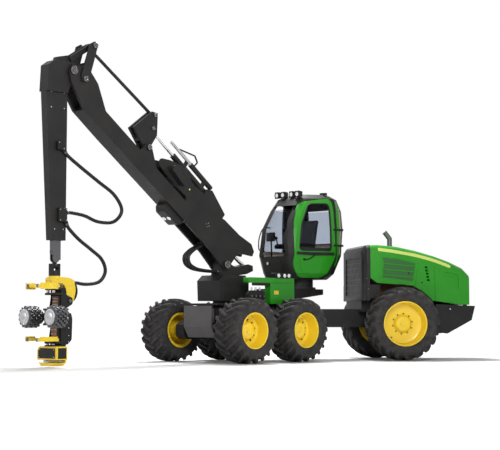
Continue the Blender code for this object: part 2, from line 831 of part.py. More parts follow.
# Mid rocker, long rod and knee
rocker_joint = joint("rocker_pin", lift_joint, crane_at(ROCKER_FOOT))
rocker = node(
    "mid_rocker",
    "charcoal",
    [
        prism(
            [(2.49, 4.29), (2.60, 4.27), (2.66, 4.40), (2.88, 4.72), (2.40, 5.08), (2.25, 5.06), (2.27, 4.60)],
            ROCKER_IN,
            ROCKER_HALF,
        ),
        prism(
            [(2.49, 4.29), (2.60, 4.27), (2.66, 4.40), (2.88, 4.72), (2.40, 5.08), (2.25, 5.06), (2.27, 4.60)],
            -ROCKER_HALF,
            -ROCKER_IN,
        ),
        block(2.56, 2.72, -0.08, 0.08, 4.46, 4.60),
        pin(ROCKER_TOP, 0.03, -0.09, 0.09),
    ],
    cuts=[bore(ROCKER_FOOT, 0.035, -0.3, 0.3)],
)
hang(rocker_joint, rocker)
long_joint = joint("long_rod_pin", rocker_joint, crane_at(ROCKER_TOP))
d = Vector((KNEE_TOP[0] - ROCKER_TOP[0], 0, KNEE_TOP[1] - ROCKER_TOP[1])).normalized()
top = Vector(crane_at(ROCKER_TOP))
end = Vector(crane_at(KNEE_TOP))
long_rod = node(
    "long_rod",
    "charcoal",
    [
        rod(top + d * 0.05, end - d * 0.03, 0.034, 12),
        pin(ROCKER_TOP, 0.07, SEAT - ROCKER_IN, ROCKER_IN - SEAT, 16),
        pin(KNEE_TOP, 0.06, SEAT - LINK_IN, LINK_IN - SEAT, 16),
    ],
    cuts=[bore(ROCKER_TOP, 0.03, -0.2, 0.2), bore(KNEE_TOP, 0.03, -0.2, 0.2)],
)
hang(long_joint, long_rod)
jib_barrel_joint, jib_rod_joint = cylinder_pair(
    "jib", BRACKET_EYE, ROCKER_EYE, 0.065, 0.035, JIB_HALF, ROCKER_IN - SEAT, 0.16, lift_joint
)

knee_joint = joint("knee_pin", lift_joint, crane_at(KNEE))
knee_plate = [(4.13, 5.45), (4.27, 5.45), (4.30, 5.56), (4.09, 6.20), (3.98, 6.26), (3.90, 6.20), (4.02, 5.80)]
knee = node(
    "knee_lever",
    "charcoal",
    [
        prism(knee_plate, KNEE_IN, 0.235),
        prism(knee_plate, -0.235, -KNEE_IN),
        rod((4.10, -0.22, 5.82), (4.10, 0.22, 5.82), 0.03),
        pin(KNEE_TOP, 0.03, -0.22, 0.22),
        *spacers(KNEE_TOP, 0.05, LINK_HALF, 0.22),
    ],
    cuts=[bore(KNEE, 0.04, -0.3, 0.3)],
)
hang(knee_joint, knee)
knee_link_joint = joint("knee_link_pin", knee_joint, crane_at(KNEE_TOP))
link_a = math.atan2(LINK_EYE[1] - KNEE_TOP[1], LINK_EYE[0] - KNEE_TOP[0])
link_plate = [
    tilted(KNEE_TOP, link_a, -0.05, -0.05),
    tilted(LINK_EYE, link_a, 0.05, -0.05),
    tilted(LINK_EYE, link_a, 0.05, 0.05),
    tilted(KNEE_TOP, link_a, -0.05, 0.05),
]
link_mid = tilted(KNEE_TOP, link_a, 0.26, 0.0)
knee_link = node(
    "knee_link",
    "charcoal",
    [
        prism(link_plate, LINK_IN, LINK_HALF),
        prism(link_plate, -LINK_HALF, -LINK_IN),
        pin(link_mid, 0.035, -0.06, 0.06),
    ],
    cuts=[bore(KNEE_TOP, 0.03, -0.2, 0.2)],
)
hang(knee_link_joint, knee_link)

# Stick and its extension
TUBE_HALF = 0.055
TONGUE_GAP = 0.03
stick_joint = joint("stick_pin", lift_joint, crane_at(TIP))
stick_box = [(4.52, 5.30), (5.02, 5.25), (4.86, 2.39), (4.53, 2.39)]
stick_cheek = [(4.38, 5.62), (4.42, 5.52), (4.54, 5.20), (5.02, 5.20), (4.99, 5.70), (4.85, 5.80), (4.38, 5.80)]
stick_lug = [(4.36, 5.75), (4.80, 5.75), (4.75, 5.88), (4.46, 5.95), (4.38, 5.95), (4.36, 5.90)]
stick = node(
    "stick",
    "charcoal",
    [
        prism(stick_box, -0.085, 0.085),
        prism(stick_cheek, SEAT - TIP_GAP, TIP_GAP - SEAT),
        prism(stick_lug, SEAT - LINK_IN, LINK_IN - SEAT),
    ],
    cuts=[
        bore(TIP, 0.05, -0.3, 0.3),
        prism([(4.60, 5.0), (4.90, 5.0), (4.81, 2.2), (4.58, 2.2)], -TUBE_HALF - SEAT, TUBE_HALF + SEAT),
    ],
)
hang(stick_joint, stick)
slide_joint = joint("stick_slide", stick_joint, crane_at(STICK_LOW))
extension = node(
    "extension",
    "steel",
    [
        prism([(4.63, 4.2), (4.83, 4.2), (4.79, 2.02), (4.62, 2.02)], -TUBE_HALF, TUBE_HALF),
        prism([(4.62, 2.20), (4.80, 2.20), (4.78, 2.0), (4.72, 1.955), (4.66, 2.0)], -TUBE_HALF, TUBE_HALF),
    ],
    cuts=[block(4.5, 4.9, -TONGUE_GAP, TONGUE_GAP, 1.9, 2.12)],
)
boolean(extension, [pin(STICK_END, 0.025, -0.05, 0.05)], "UNION")
paint(extension, "charcoal")
hang(slide_joint, extension)

# Tip link, rotator and head
CROSS_HALF = 0.05
swing_joint = joint("tip_swing", slide_joint, crane_at(STICK_END))
tip_link = node(
    "tip_link",
    "black",
    [
        pin(STICK_END, 0.05, SEAT - TONGUE_GAP, TONGUE_GAP - SEAT, 16),
        block(HEAD_X - 0.035, HEAD_X + 0.035, -0.025, 0.025, CROSS_Z - 0.02, STICK_END[1] - 0.02),
        rod((HEAD_X - CROSS_HALF, 0, CROSS_Z), (HEAD_X + CROSS_HALF, 0, CROSS_Z), 0.045, 16),
    ],
    cuts=[bore(STICK_END, 0.025, -0.2, 0.2), rod((HEAD_X - 0.2, 0, CROSS_Z), (HEAD_X + 0.2, 0, CROSS_Z), 0.0217)],
)
hang(swing_joint, tip_link)
cross_joint = joint("cross_swing", swing_joint, (HEAD_X, 0, CROSS_Z))
rotator = node(
    "rotator",
    "black",
    [
        rod((HEAD_X, 0, 1.72), (HEAD_X, 0, 1.82), 0.11, 20),
        block(HEAD_X - 0.10, HEAD_X - CROSS_HALF - SEAT, -0.05, 0.05, 1.80, 1.95),
        block(HEAD_X + CROSS_HALF + SEAT, HEAD_X + 0.10, -0.05, 0.05, 1.80, 1.95),
        rod((HEAD_X - 0.09, 0, CROSS_Z), (HEAD_X + 0.09, 0, CROSS_Z), 0.02),
    ],
)
hang(cross_joint, rotator)
spin_joint = joint("rotator_spin", cross_joint, (HEAD_X, 0, 1.70))
TILT = (4.47, 1.25)
TILT_GAP = 0.105
HEAD_TOP = 1.50
HEAD_LOW = 0.497
arch = [(4.84, 1.70), (4.52, 1.70), (4.38, 1.62), (4.34, 1.45), (4.40, 1.21), (4.44, 1.195), (4.50, 1.195)]
arch += [(4.53, 1.22), (4.50, 1.45), (4.56, 1.56), (4.84, 1.60)]
yoke = node(
    "head_yoke",
    "yellow",
    [
        prism(arch, -0.10, 0.10),
        rod((HEAD_X, 0, 1.65), (HEAD_X, 0, 1.7197), 0.11, 20),
        pin(TILT, 0.035, -0.15, 0.15),
        pin(TILT, 0.06, SEAT - TILT_GAP, TILT_GAP - SEAT, 16),
    ],
)
hang(spin_joint, yoke)
tilt_joint = joint("head_tilt", spin_joint, (TILT[0], 0, TILT[1]))
SPINE_X = 4.56
head_frame = node(
    "head_frame",
    "charcoal",
    [
        block(SPINE_X, 4.68, -0.17, 0.17, 0.40, HEAD_TOP),
        block(4.60, 4.84, -0.18, 0.18, 1.36, HEAD_TOP),
        block(4.60, 4.84, -0.18, 0.18, 0.40, HEAD_LOW),
        block(4.42, 4.60, TILT_GAP, 0.15, 1.18, 1.32),
        block(4.42, 4.60, -0.15, -TILT_GAP, 1.18, 1.32),
        block(4.60, 4.76, -0.30, 0.30, 0.79, 0.83),
        block(4.60, 4.76, -0.30, 0.30, 1.07, 1.11),
    ],
    cuts=[bore(TILT, 0.035, -0.4, 0.4)],
)
hang(tilt_joint, head_frame)


def claw(name, side, z0, z1, x0, span):
    """Arm outline in plan, from its hinge beside the frame to its tip in front."""
    pts = [
        (x0 - 0.05, 0.10),
        (x0 + 0.02, 0.04),
        (x0 + 0.07, 0.10),
        (x0 + 0.12, span - 0.06),
        (x0 + 0.24, span - 0.02),
        (x0 + 0.36, span - 0.08),
        (x0 + 0.44, span - 0.20),
        (x0 + 0.40, span - 0.02),
        (x0 + 0.26, span + 0.04),
        (x0 + 0.08, span + 0.01),
        (x0 - 0.02, span - 0.08),
    ]
    return node(name, "yellow", [prism([(x, side * y) for x, y in pts], z0, z1, "XY")])


# name, side, low z, high z, hinge x, half span
KNIVES = (
    ("upper_knife_left", 1, HEAD_TOP + SEAT, 1.55, 4.80, 0.32),
    ("upper_knife_right", -1, HEAD_TOP + SEAT, 1.55, 4.80, 0.32),
    ("lower_knife_left", 1, HEAD_LOW + SEAT, 0.55, 4.80, 0.30),
    ("lower_knife_right", -1, HEAD_LOW + SEAT, 0.55, 4.80, 0.30),
)
for name, side, z0, z1, x0, span in KNIVES:
    hinge = joint(name + "_hinge", tilt_joint, (x0, side * 0.09, (z0 + z1) / 2))
    hang(hinge, claw(name, side, z0, z1, x0, span))

# Feed rollers on their swing arms
ROLLER_Z = 0.95
for name, side in (("left", 1), ("right", -1)):
    arm_joint = joint("roller_arm_" + name + "_hinge", tilt_joint, (4.69, side * 0.26, ROLLER_Z))
    arm = node(
        "roller_arm_" + name,
        "charcoal",
        [
            rod((4.69, side * 0.26, 0.8303), (4.69, side * 0.26, 1.0697), 0.05, 16),
            block(4.66, 4.76, *sorted((side * 0.24, side * 0.44)), 0.88, 1.02),
            rod((4.72, side * 0.40, ROLLER_Z), (4.83, side * 0.40, ROLLER_Z), 0.07, 16),
        ],
    )
    hang(arm_joint, arm)
    roller_joint = joint("roller_" + name + "_spin", arm_joint, (4.90, side * 0.40, ROLLER_Z))
    roller = node(
        "feed_roller_" + name,
        "steel",
        [rod((4.8303, side * 0.40, ROLLER_Z), (5.12, side * 0.40, ROLLER_Z), 0.21, 20)],
        metal=1.0,
    )
    hang(roller_joint, roller)

# Saw box and bar
saw_box = node(
    "saw_box",
    "yellow",
    [block(4.58, 4.84, -0.36, 0.24, 0.03, 0.3997)],
    cuts=[block(4.62, 4.90, -0.40, 0.30, 0.10, 0.14)],
)
hang(tilt_joint, saw_box)
saw_joint = joint("saw_swing", tilt_joint, (4.70, -0.28, 0.12))
saw_bar = node(
    "saw_bar",
    "steel",
    [
        prism([(4.66, -0.32), (4.74, -0.32), (4.74, 0.20), (4.70, 0.23), (4.66, 0.20)], 0.115, 0.125, "XY"),
        rod((4.70, -0.28, 0.1003), (4.70, -0.28, 0.1397), 0.045, 16),
    ],
    metal=1.0,
)
hang(saw_joint, saw_bar)

# The whole machine stands on the floor, centred over its own box
shift = joint("machine", None, (ORIGIN_X, ORIGIN_Y, 0))
front.parent = shift
front.matrix_local = Matrix.Identity(4)
bpy.context.view_layer.update()
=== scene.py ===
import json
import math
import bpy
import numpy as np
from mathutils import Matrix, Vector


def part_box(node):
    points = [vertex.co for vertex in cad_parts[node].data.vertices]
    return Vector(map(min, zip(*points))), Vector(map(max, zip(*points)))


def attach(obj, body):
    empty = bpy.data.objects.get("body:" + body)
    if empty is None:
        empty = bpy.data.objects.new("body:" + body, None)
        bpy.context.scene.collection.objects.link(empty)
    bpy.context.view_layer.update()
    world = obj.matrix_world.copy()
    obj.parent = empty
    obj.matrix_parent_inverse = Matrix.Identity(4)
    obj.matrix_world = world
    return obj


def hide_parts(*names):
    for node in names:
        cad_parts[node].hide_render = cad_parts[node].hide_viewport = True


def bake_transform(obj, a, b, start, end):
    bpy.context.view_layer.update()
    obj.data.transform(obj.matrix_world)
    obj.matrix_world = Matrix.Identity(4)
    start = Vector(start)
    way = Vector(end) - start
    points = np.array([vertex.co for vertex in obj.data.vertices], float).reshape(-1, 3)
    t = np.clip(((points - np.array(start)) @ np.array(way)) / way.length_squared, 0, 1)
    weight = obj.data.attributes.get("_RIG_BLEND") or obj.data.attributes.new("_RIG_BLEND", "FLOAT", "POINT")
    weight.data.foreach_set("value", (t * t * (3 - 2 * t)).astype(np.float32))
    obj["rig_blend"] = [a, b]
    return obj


bl_info = {
    "name": "Forestry harvester looks",
    "version": (1, 0, 0),
    "blender": (4, 5, 0),
    "location": "View3D > Sidebar > Harvester",
    "description": "Finishes, small parts and studio of a six-wheeled forestry harvester",
    "category": "Add Mesh",
}

from collections import namedtuple

import bmesh
import bpy
from bpy.props import FloatProperty, FloatVectorProperty, IntProperty, PointerProperty
from mathutils import Matrix, Vector
from mathutils.bvhtree import BVHTree

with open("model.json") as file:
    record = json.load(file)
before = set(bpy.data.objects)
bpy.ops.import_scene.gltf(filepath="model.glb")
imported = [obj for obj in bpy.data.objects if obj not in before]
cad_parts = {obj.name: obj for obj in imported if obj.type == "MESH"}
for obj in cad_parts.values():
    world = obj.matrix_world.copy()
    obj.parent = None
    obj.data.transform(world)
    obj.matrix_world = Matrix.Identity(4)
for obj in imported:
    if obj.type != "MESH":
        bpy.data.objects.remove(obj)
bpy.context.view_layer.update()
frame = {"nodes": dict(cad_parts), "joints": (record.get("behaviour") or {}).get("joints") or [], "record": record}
JOINTS = {joint["name"]: joint for joint in frame["joints"]}
BODY_OF = {node: body for body, nodes in frame["record"]["behaviour"]["bodies"].items() for node in nodes}

# The two halves' own frames: origin on the ground, +X forward, and the rear half turned at rest
REST_TURN = math.radians(-34.5)
PIVOT_TO_FRONT = 1.956
PIVOT = Vector(JOINTS["frame_joint"]["pos_m"])
FRONT = Matrix.Translation((PIVOT.x + PIVOT_TO_FRONT, PIVOT.y, 0))
REAR = Matrix.Translation((PIVOT.x, PIVOT.y, 0)) @ Matrix.Rotation(REST_TURN, 4, "Z")
SIDES = (("left", 1), ("right", -1))


# Sizes and colours


class HarvesterLooks(bpy.types.PropertyGroup):
    """What can be changed in the harvester's looks."""

    green: FloatVectorProperty(
        name="Body green",
        description="Paint of hood, cab frame and box",
        subtype="COLOR",
        default=(0.016, 0.26, 0.008),
    )
    yellow: FloatVectorProperty(
        name="Yellow",
        description="Paint of the rims and the head",
        subtype="COLOR",
        default=(0.82, 0.58, 0.015),
    )
    charcoal: FloatVectorProperty(
        name="Charcoal",
        description="Paint of the crane and frames",
        subtype="COLOR",
        default=(0.011, 0.0105, 0.011),
    )
    rubber: FloatVectorProperty(
        name="Rubber", description="Tyres", subtype="COLOR", default=(0.030, 0.029, 0.031)
    )
    stripe: FloatVectorProperty(
        name="Stripe", description="Pale stripe of the hood", subtype="COLOR", default=(0.62, 0.72, 0.16)
    )
    lug_count: IntProperty(name="Lugs", description="Lugs on each side of a tyre", default=20, min=8, max=40)
    lug_height: FloatProperty(
        name="Lug height", description="Depth of the tread", unit="LENGTH", default=0.055
    )


# Modelling kit

# How the two numbers of an outline and the depth across it become x, y and z
PLANES = {
    "XZ": lambda a, b, depth: (a, depth, b),
    "XY": lambda a, b, depth: (a, b, depth),
    "YZ": lambda a, b, depth: (depth, a, b),
}


def put(name, mesh):
    """A new object in the scene."""
    made = bpy.data.objects.new(name, mesh)
    bpy.context.scene.collection.objects.link(made)
    return made


def made_mesh(obj):
    """The object's mesh with its modifiers done."""
    bpy.context.view_layer.update()
    return bpy.data.meshes.new_from_object(obj.evaluated_get(bpy.context.evaluated_depsgraph_get()))


def basis_for(axis):
    """Two directions across an axis, and the axis itself."""
    axis = Vector(axis).normalized()
    helper = Vector((0, 0, 1)) if abs(axis.z) < 0.9 else Vector((1, 0, 0))
    side = axis.cross(helper).normalized()
    return side, axis.cross(side).normalized(), axis


def ring_round(point, side, up, radius, steps):
    """Points round a centre; the radius is a number or follows the angle."""
    ring = []
    for i in range(steps):
        a = 2 * math.pi * i / steps
        r = radius(a) if callable(radius) else radius
        ring.append(point + side * r * math.cos(a) + up * r * math.sin(a))
    return ring


class Work:
    """Shapes gathered in one mesh, in the frame of the half that carries them."""

    def __init__(self, finish=None):
        self.mesh = bmesh.new()
        self.finishes = []
        self.slot = 0
        if finish:
            self.use(finish)

    def use(self, finish):
        """Faces made from here on take this finish."""
        if finish not in self.finishes:
            self.finishes.append(finish)
        self.slot = self.finishes.index(finish)

    def add(self, verts, faces):
        made = [self.mesh.verts.new(v) for v in verts]
        new = []
        for face in faces:
            new.append(self.mesh.faces.new([made[i] for i in face]))
            new[-1].material_index = self.slot
        bmesh.ops.recalc_face_normals(self.mesh, faces=new)

    def shell(self, low, high):
        """The solid between two outlines of as many points."""
        n = len(low)
        faces = [tuple(range(n)), tuple(range(2 * n - 1, n - 1, -1))]
        faces += [(i, (i + 1) % n, n + (i + 1) % n, n + i) for i in range(n)]
        self.add(low + high, faces)

    def prism(self, outline, low, high, plane="XZ"):
        """A rigid outline drawn out across its plane."""
        at = PLANES[plane]
        self.shell([at(a, b, low) for a, b in outline], [at(a, b, high) for a, b in outline])

    def block(self, x0, x1, y0, y1, z0, z1):
        self.prism([(x0, z0), (x1, z0), (x1, z1), (x0, z1)], y0, y1)

    def turned(self, profile, centre, axis, steps=32):
        """A closed outline of (radius, along) turned about the axis."""
        side, up, along = basis_for(axis)
        centre = Vector(centre)
        verts = []
        rings = []
        for radius, t in profile:
            count = steps if radius else 1
            rings.append([len(verts) + i % count for i in range(steps)])
            verts += ring_round(centre + along * t, side, up, radius, count)
        faces = []
        for a, b in zip(rings, rings[1:] + rings[:1]):
            for i in range(steps):
                j = (i + 1) % steps
                face = list(dict.fromkeys((a[i], a[j], b[j], b[i])))
                if len(face) > 2:
                    faces.append(face)
        self.add(verts, faces)

    def rod(self, p, q, radius, steps=24):
        """A round bar from p to q."""
        axis = Vector(q) - Vector(p)
        self.turned([(0, 0), (radius, 0), (radius, axis.length), (0, axis.length)], p, axis, steps)

    def tube(self, points, radius, steps=12, loop=False):
        """A bar along the points, its section carried without twist; a radius may follow place, angle."""
        points = [Vector(p) for p in points]
        last = len(points) - 1
        side = None
        rings = []
        for i, point in enumerate(points):
            before = points[i - 1] if loop else points[max(i - 1, 0)]
            after = points[(i + 1) % (last + 1)] if loop else points[min(i + 1, last)]
            tangent = (after - before).normalized()
            side = basis_for(tangent)[0] if side is None else side
            side = (side - tangent * side.dot(tangent)).normalized()
            size = (lambda a, i=i: radius(i, a)) if callable(radius) else radius
            rings.append(ring_round(point, side, tangent.cross(side), size, steps))
        self.loft(rings, loop)

    def loft(self, rings, loop=False):
        """A skin through rings of as many points, closed on itself or by its end rings."""
        n, count = len(rings[0]), len(rings)
        faces = []
        for k in range(count if loop else count - 1):
            ahead = (k + 1) % count
            faces += [
                (k * n + i, k * n + (i + 1) % n, ahead * n + (i + 1) % n, ahead * n + i) for i in range(n)
            ]
        if not loop:
            faces += [tuple(range(n)), tuple(range(n * count - 1, n * count - n - 1, -1))]
        self.add([v for ring in rings for v in ring], faces)

    def take(self, mesh):
        """Adds a finished mesh with the current finish."""
        before = len(self.mesh.faces)
        self.mesh.from_mesh(mesh)
        self.mesh.faces.ensure_lookup_table()
        for face in self.mesh.faces[before:]:
            face.material_index = self.slot

    def poured(self, name, base=None):
        """What was gathered as a mesh, placed by the base."""
        if base:
            bmesh.ops.transform(self.mesh, matrix=base, verts=self.mesh.verts)
        mesh = bpy.data.meshes.new(name)
        self.mesh.to_mesh(mesh)
        self.mesh.free()
        for finish in self.finishes:
            mesh.materials.append(FINISHES[finish])
        return mesh

    def finish(self, name, body, base=FRONT, **looks):
        """Turns what was gathered into a piece that rides on the body."""
        return settle(put(name, self.poured(name, base)), body, **looks)


PIECES = {}
EDGE_STEPS = 2
EDGE_FROM = math.radians(28)


def settle(piece, body, edge=0.0, smooth=35, stands_for=(), slot=None):
    """Smooth shading, rounded edges, the body that a piece rides on and the nodes that it stands for."""
    PIECES[piece.name] = piece
    piece.data.shade_smooth()
    piece.data.set_sharp_from_angle(angle=math.radians(smooth))
    if edge:
        bevel = piece.modifiers.new("edges", "BEVEL")
        bevel.width = edge
        bevel.segments = EDGE_STEPS
        bevel.limit_method = "ANGLE"
        bevel.angle_limit = EDGE_FROM
        bevel.use_clamp_overlap = True
        bevel.harden_normals = True
    if body:
        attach(piece, body)
    if stands_for:
        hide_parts(*stands_for)
    return piece


class Skin:
    """The surface of a piece or CAD node, for laying thin pieces on it."""

    def __init__(self, name, base=FRONT, far=1.5):
        mesh = (PIECES.get(name) or frame["nodes"][name]).data
        into = base.inverted()
        self.far = far
        self.tree = BVHTree.FromPolygons(
            [into @ v.co for v in mesh.vertices], [list(face.vertices) for face in mesh.polygons]
        )

    def at(self, point, direction):
        """Where a line from the point meets the surface."""
        hit = self.tree.ray_cast(Vector(point), Vector(direction))[0]
        if hit is None:
            raise RuntimeError("no surface beyond " + str(tuple(point)))
        return hit

    def beside(self, x, z, side=1):
        """The surface's point at x and z, met from the side."""
        return self.at((x, side * self.far, z), (0, -side, 0))

    def lay(self, work, rows, thick, side=1, sunk=0.004):
        """A closed plate whose grid of x and z is dropped on the surface from the side."""
        hits = [self.beside(x, z, side) for row in rows for x, z in row]
        out = Vector((0, side, 0))
        wide, high = len(rows[0]), len(rows)
        shift = len(hits)
        faces = []
        for r in range(high - 1):
            for c in range(wide - 1):
                a = r * wide + c
                faces.append((a, a + 1, a + wide + 1, a + wide))
                faces.append((shift + a, shift + a + wide, shift + a + wide + 1, shift + a + 1))
        border = list(range(wide)) + [r * wide + wide - 1 for r in range(1, high)]
        border += [
            (high - 1) * wide + c for c in range(wide - 2, -1, -1)
        ] + [r * wide for r in range(high - 2, 0, -1)]
        for a, b in zip(border, border[1:] + border[:1]):
            faces.append((a, shift + a, shift + b, b))
        work.add([hit + out * thick for hit in hits] + [hit - out * sunk for hit in hits], faces)


def run_of(points):
    """How far along the line each of its points lies."""
    runs = [0.0]
    for a, b in zip(points, points[1:]):
        runs.append(runs[-1] + (b - a).length)
    return runs


def along(line, share):
    """The point at a share of a polyline's length."""
    points = [Vector(p) for p in line]
    runs = run_of(points)
    want = runs[-1] * share
    for k in range(len(points) - 1):
        if want <= runs[k + 1] + 1e-9:
            return points[k].lerp(points[k + 1], (want - runs[k]) / max(runs[k + 1] - runs[k], 1e-9))
    return points[-1]


def band(top, bottom, columns, rows):
    """A grid of points between two lines of x and z."""
    grid = []
    for r in range(rows + 1):
        spots = [
            along(top, c / columns).lerp(along(bottom, c / columns), r / rows) for c in range(columns + 1)
        ]
        grid.append([(spot.x, spot.y) for spot in spots])
    return grid


def rounded(points, radius, steps=4):
    """A polygon whose corners are bent through the steps."""
    out = []
    for i, point in enumerate(points):
        corner = Vector(point)
        before = Vector(points[i - 1]) - corner
        after = Vector(points[(i + 1) % len(points)]) - corner
        back = min(radius, before.length * 0.45, after.length * 0.45)
        a = corner + before.normalized() * back
        b = corner + after.normalized() * back
        for k in range(steps + 1):
            t = k / steps
            out.append(tuple((1 - t) ** 2 * a + 2 * t * (1 - t) * corner + t * t * b))
    return out


def dense_line(points, step, loop=True):
    """More points along an outline."""
    out = []
    for a, b in zip(points, points[1:] + (points[:1] if loop else [])):
        count = max(1, round(math.dist(a, b) / step))
        for t in [i / count for i in range(count)]:
            out.append(tuple(p + (q - p) * t for p, q in zip(a, b)))
    return out if loop else out + [tuple(points[-1])]


def scaled(outline, by, middle):
    return [(middle[0] + (x - middle[0]) * by, middle[1] + (z - middle[1]) * by) for x, z in outline]


def tilted(start, turn, along, up):
    """A point given along and above a line that leaves the start at an angle."""
    return (
        start[0] + along * math.cos(turn) - up * math.sin(turn),
        start[1] + along * math.sin(turn) + up * math.cos(turn),
    )


def on_circle(middle, radius, count, phase=0.0):
    """Evenly spaced points on a circle."""
    for k in range(count):
        a = 2 * math.pi / count * k + phase
        yield middle[0] + radius * math.cos(a), middle[1] + radius * math.sin(a)


def dress(name, finish, edge, slot):
    """A copy of a rigid node with whole faces and rounded edges, which stands for it."""
    work = Work(finish)
    work.take(frame["nodes"][name].data)
    bmesh.ops.remove_doubles(work.mesh, verts=work.mesh.verts, dist=0.00005)
    bmesh.ops.dissolve_limit(
        work.mesh, angle_limit=math.radians(0.6), verts=work.mesh.verts, edges=work.mesh.edges
    )
    mesh = work.poured(name + "_dressed")
    for label in [a.name for a in mesh.attributes if a.name.startswith("custom_normal")]:
        mesh.attributes.remove(mesh.attributes[label])
    return settle(put(name + "_dressed", mesh), BODY_OF[name], edge, stands_for=(name,), slot=slot)


# Nodes of geometry, finishes and sky


def node(tree, kind, inputs=(), **settings):
    """A new node with its settings and, for each input, a value or the socket that feeds it."""
    made = tree.nodes.new(kind)
    for key, value in settings.items():
        setattr(made, key, value)
    for key, value in dict(inputs).items():
        if isinstance(value, bpy.types.NodeSocket):
            tree.links.new(value, made.inputs[key])
        else:
            made.inputs[key].default_value = value
    return made


def figure(tree, operation, *values):
    """The outcome of a sum on values or sockets."""
    return node(tree, "ShaderNodeMath", dict(enumerate(values)), operation=operation).outputs[0]


def round_tree(name):
    """Geometry Nodes that copy a shape in a round about Z and give it its material."""
    tree = bpy.data.node_groups.new(name, "GeometryNodeTree")
    tree.interface.new_socket("Geometry", in_out="OUTPUT", socket_type="NodeSocketGeometry")
    for label, kind in (("Shape", "Object"), ("Count", "Int"), ("Phase", "Float"), ("Material", "Material")):
        tree.interface.new_socket(label, in_out="INPUT", socket_type="NodeSocket" + kind)
    given = node(tree, "NodeGroupInput").outputs
    line = node(tree, "GeometryNodeMeshLine", {"Offset": (0, 0, 0), "Count": given["Count"]}).outputs["Mesh"]
    index = node(tree, "GeometryNodeInputIndex").outputs["Index"]
    share = figure(tree, "DIVIDE", index, given["Count"])
    angle = figure(tree, "MULTIPLY_ADD", share, 2 * math.pi, given["Phase"])
    spin = node(tree, "ShaderNodeCombineXYZ", {"Z": angle}).outputs["Vector"]
    shape = node(tree, "GeometryNodeObjectInfo", {"Object": given["Shape"]}).outputs["Geometry"]
    spread = node(tree, "GeometryNodeInstanceOnPoints", {"Points": line, "Instance": shape, "Rotation": spin})
    real = node(
        tree, "GeometryNodeRealizeInstances", {"Geometry": spread.outputs["Instances"]}
    ).outputs["Geometry"]
    coat = node(tree, "GeometryNodeSetMaterial", {"Geometry": real, "Material": given["Material"]})
    node(tree, "NodeGroupOutput", {"Geometry": coat.outputs["Geometry"]})
    return tree


def copies(work, finish, count, phase):
    """The mesh of a gathered shape that Geometry Nodes copy in a round."""
    name = "Copies in a round"
    tree = bpy.data.node_groups.get(name) or round_tree(name)
    shape = put("shape", work.poured("shape"))
    host = put("host", bpy.data.meshes.new("host"))
    modifier = host.modifiers.new("copies", "NODES")
    modifier.node_group = tree
    values = {"Shape": shape, "Count": count, "Phase": phase, "Material": FINISHES[finish]}
    for item in tree.interface.items_tree:
        if item.in_out == "INPUT":
            modifier[item.identifier] = values[item.name]
    made = made_mesh(host)
    for obj in (shape, host):
        bpy.data.objects.remove(obj)
    return made


# Finishes

FINISHES = {}
DUST = (0.22, 0.19, 0.15)
WHITE = (1, 1, 1, 1)
COAT_ROUGHNESS = 0.08
DULL = ("charcoal", "black", "rubber", "hose", "plastic", "green", "grey")
DULL_LEVEL = 0.22


def new_finish(name, colour, rough, metal=0.0, coat=0.0):
    """A material, which the other finishes add to; gives its tree and its shader."""
    material = bpy.data.materials.new(name)
    material.use_nodes = True
    shader = material.node_tree.nodes["Principled BSDF"]
    shader.inputs["Base Color"].default_value = (*colour, 1)
    shader.inputs["Roughness"].default_value = rough
    shader.inputs["Metallic"].default_value = metal
    shader.inputs["Coat Weight"].default_value = coat
    shader.inputs["Coat Roughness"].default_value = COAT_ROUGHNESS
    if name in DULL:
        shader.inputs["Specular IOR Level"].default_value = DULL_LEVEL
    FINISHES[name] = material
    return material.node_tree, shader


def pattern(tree, kind, output, **inputs):
    """A texture on the piece's own coordinates."""
    coords = node(tree, "ShaderNodeTexCoord").outputs["Object"]
    return node(tree, "ShaderNodeTex" + kind, {"Vector": coords, **inputs}).outputs[output]


def noise(tree, scale, detail):
    return pattern(tree, "Noise", "Fac", Scale=scale, Detail=detail)


def tint(tree, shader, source, low, high, first, second):
    """Base colour from two colours, by where the source lies between low and high."""
    blend = node(tree, "ShaderNodeValToRGB", {"Fac": source})
    for element, spot, colour in zip(blend.color_ramp.elements, (low, high), (first, second)):
        element.position = spot
        element.color = (*colour, 1)
    tree.links.new(blend.outputs["Color"], shader.inputs["Base Color"])


def bump(tree, shader, source, strength, distance):
    made = node(tree, "ShaderNodeBump", {"Strength": strength, "Distance": distance, "Height": source})
    tree.links.new(made.outputs["Normal"], shader.inputs["Normal"])


def shade(colour, by):
    return tuple(min(1.0, c * by) for c in colour)


def mixed(first, second, share):
    return tuple(a + (b - a) * share for a, b in zip(first, second))


def painted(name, colour, rough, coat, dust, spread=0.06):
    """Machine paint: slight shade changes, a film of dust and a fine orange peel."""
    tree, shader = new_finish(name, colour, rough, coat=coat)
    dusty = mixed(shade(colour, 1 + spread), DUST, dust)
    tint(tree, shader, noise(tree, 1.7, 6), 0.30, 0.72, shade(colour, 1 - spread), dusty)
    gloss = {"Value": noise(tree, 6.0, 8), "To Min": rough - 0.08, "To Max": rough + 0.14}
    tree.links.new(node(tree, "ShaderNodeMapRange", gloss).outputs["Result"], shader.inputs["Roughness"])
    bump(tree, shader, noise(tree, 180.0, 2), 0.10, 0.0006)


def rubbery(name, colour, rough=0.82, dust=0.10):
    tree, shader = new_finish(name, colour, rough)
    tint(tree, shader, noise(tree, 9.0, 8), 0.35, 0.70, shade(colour, 0.80), mixed(colour, DUST, dust))
    bump(tree, shader, noise(tree, 260.0, 3), 0.35, 0.0012)


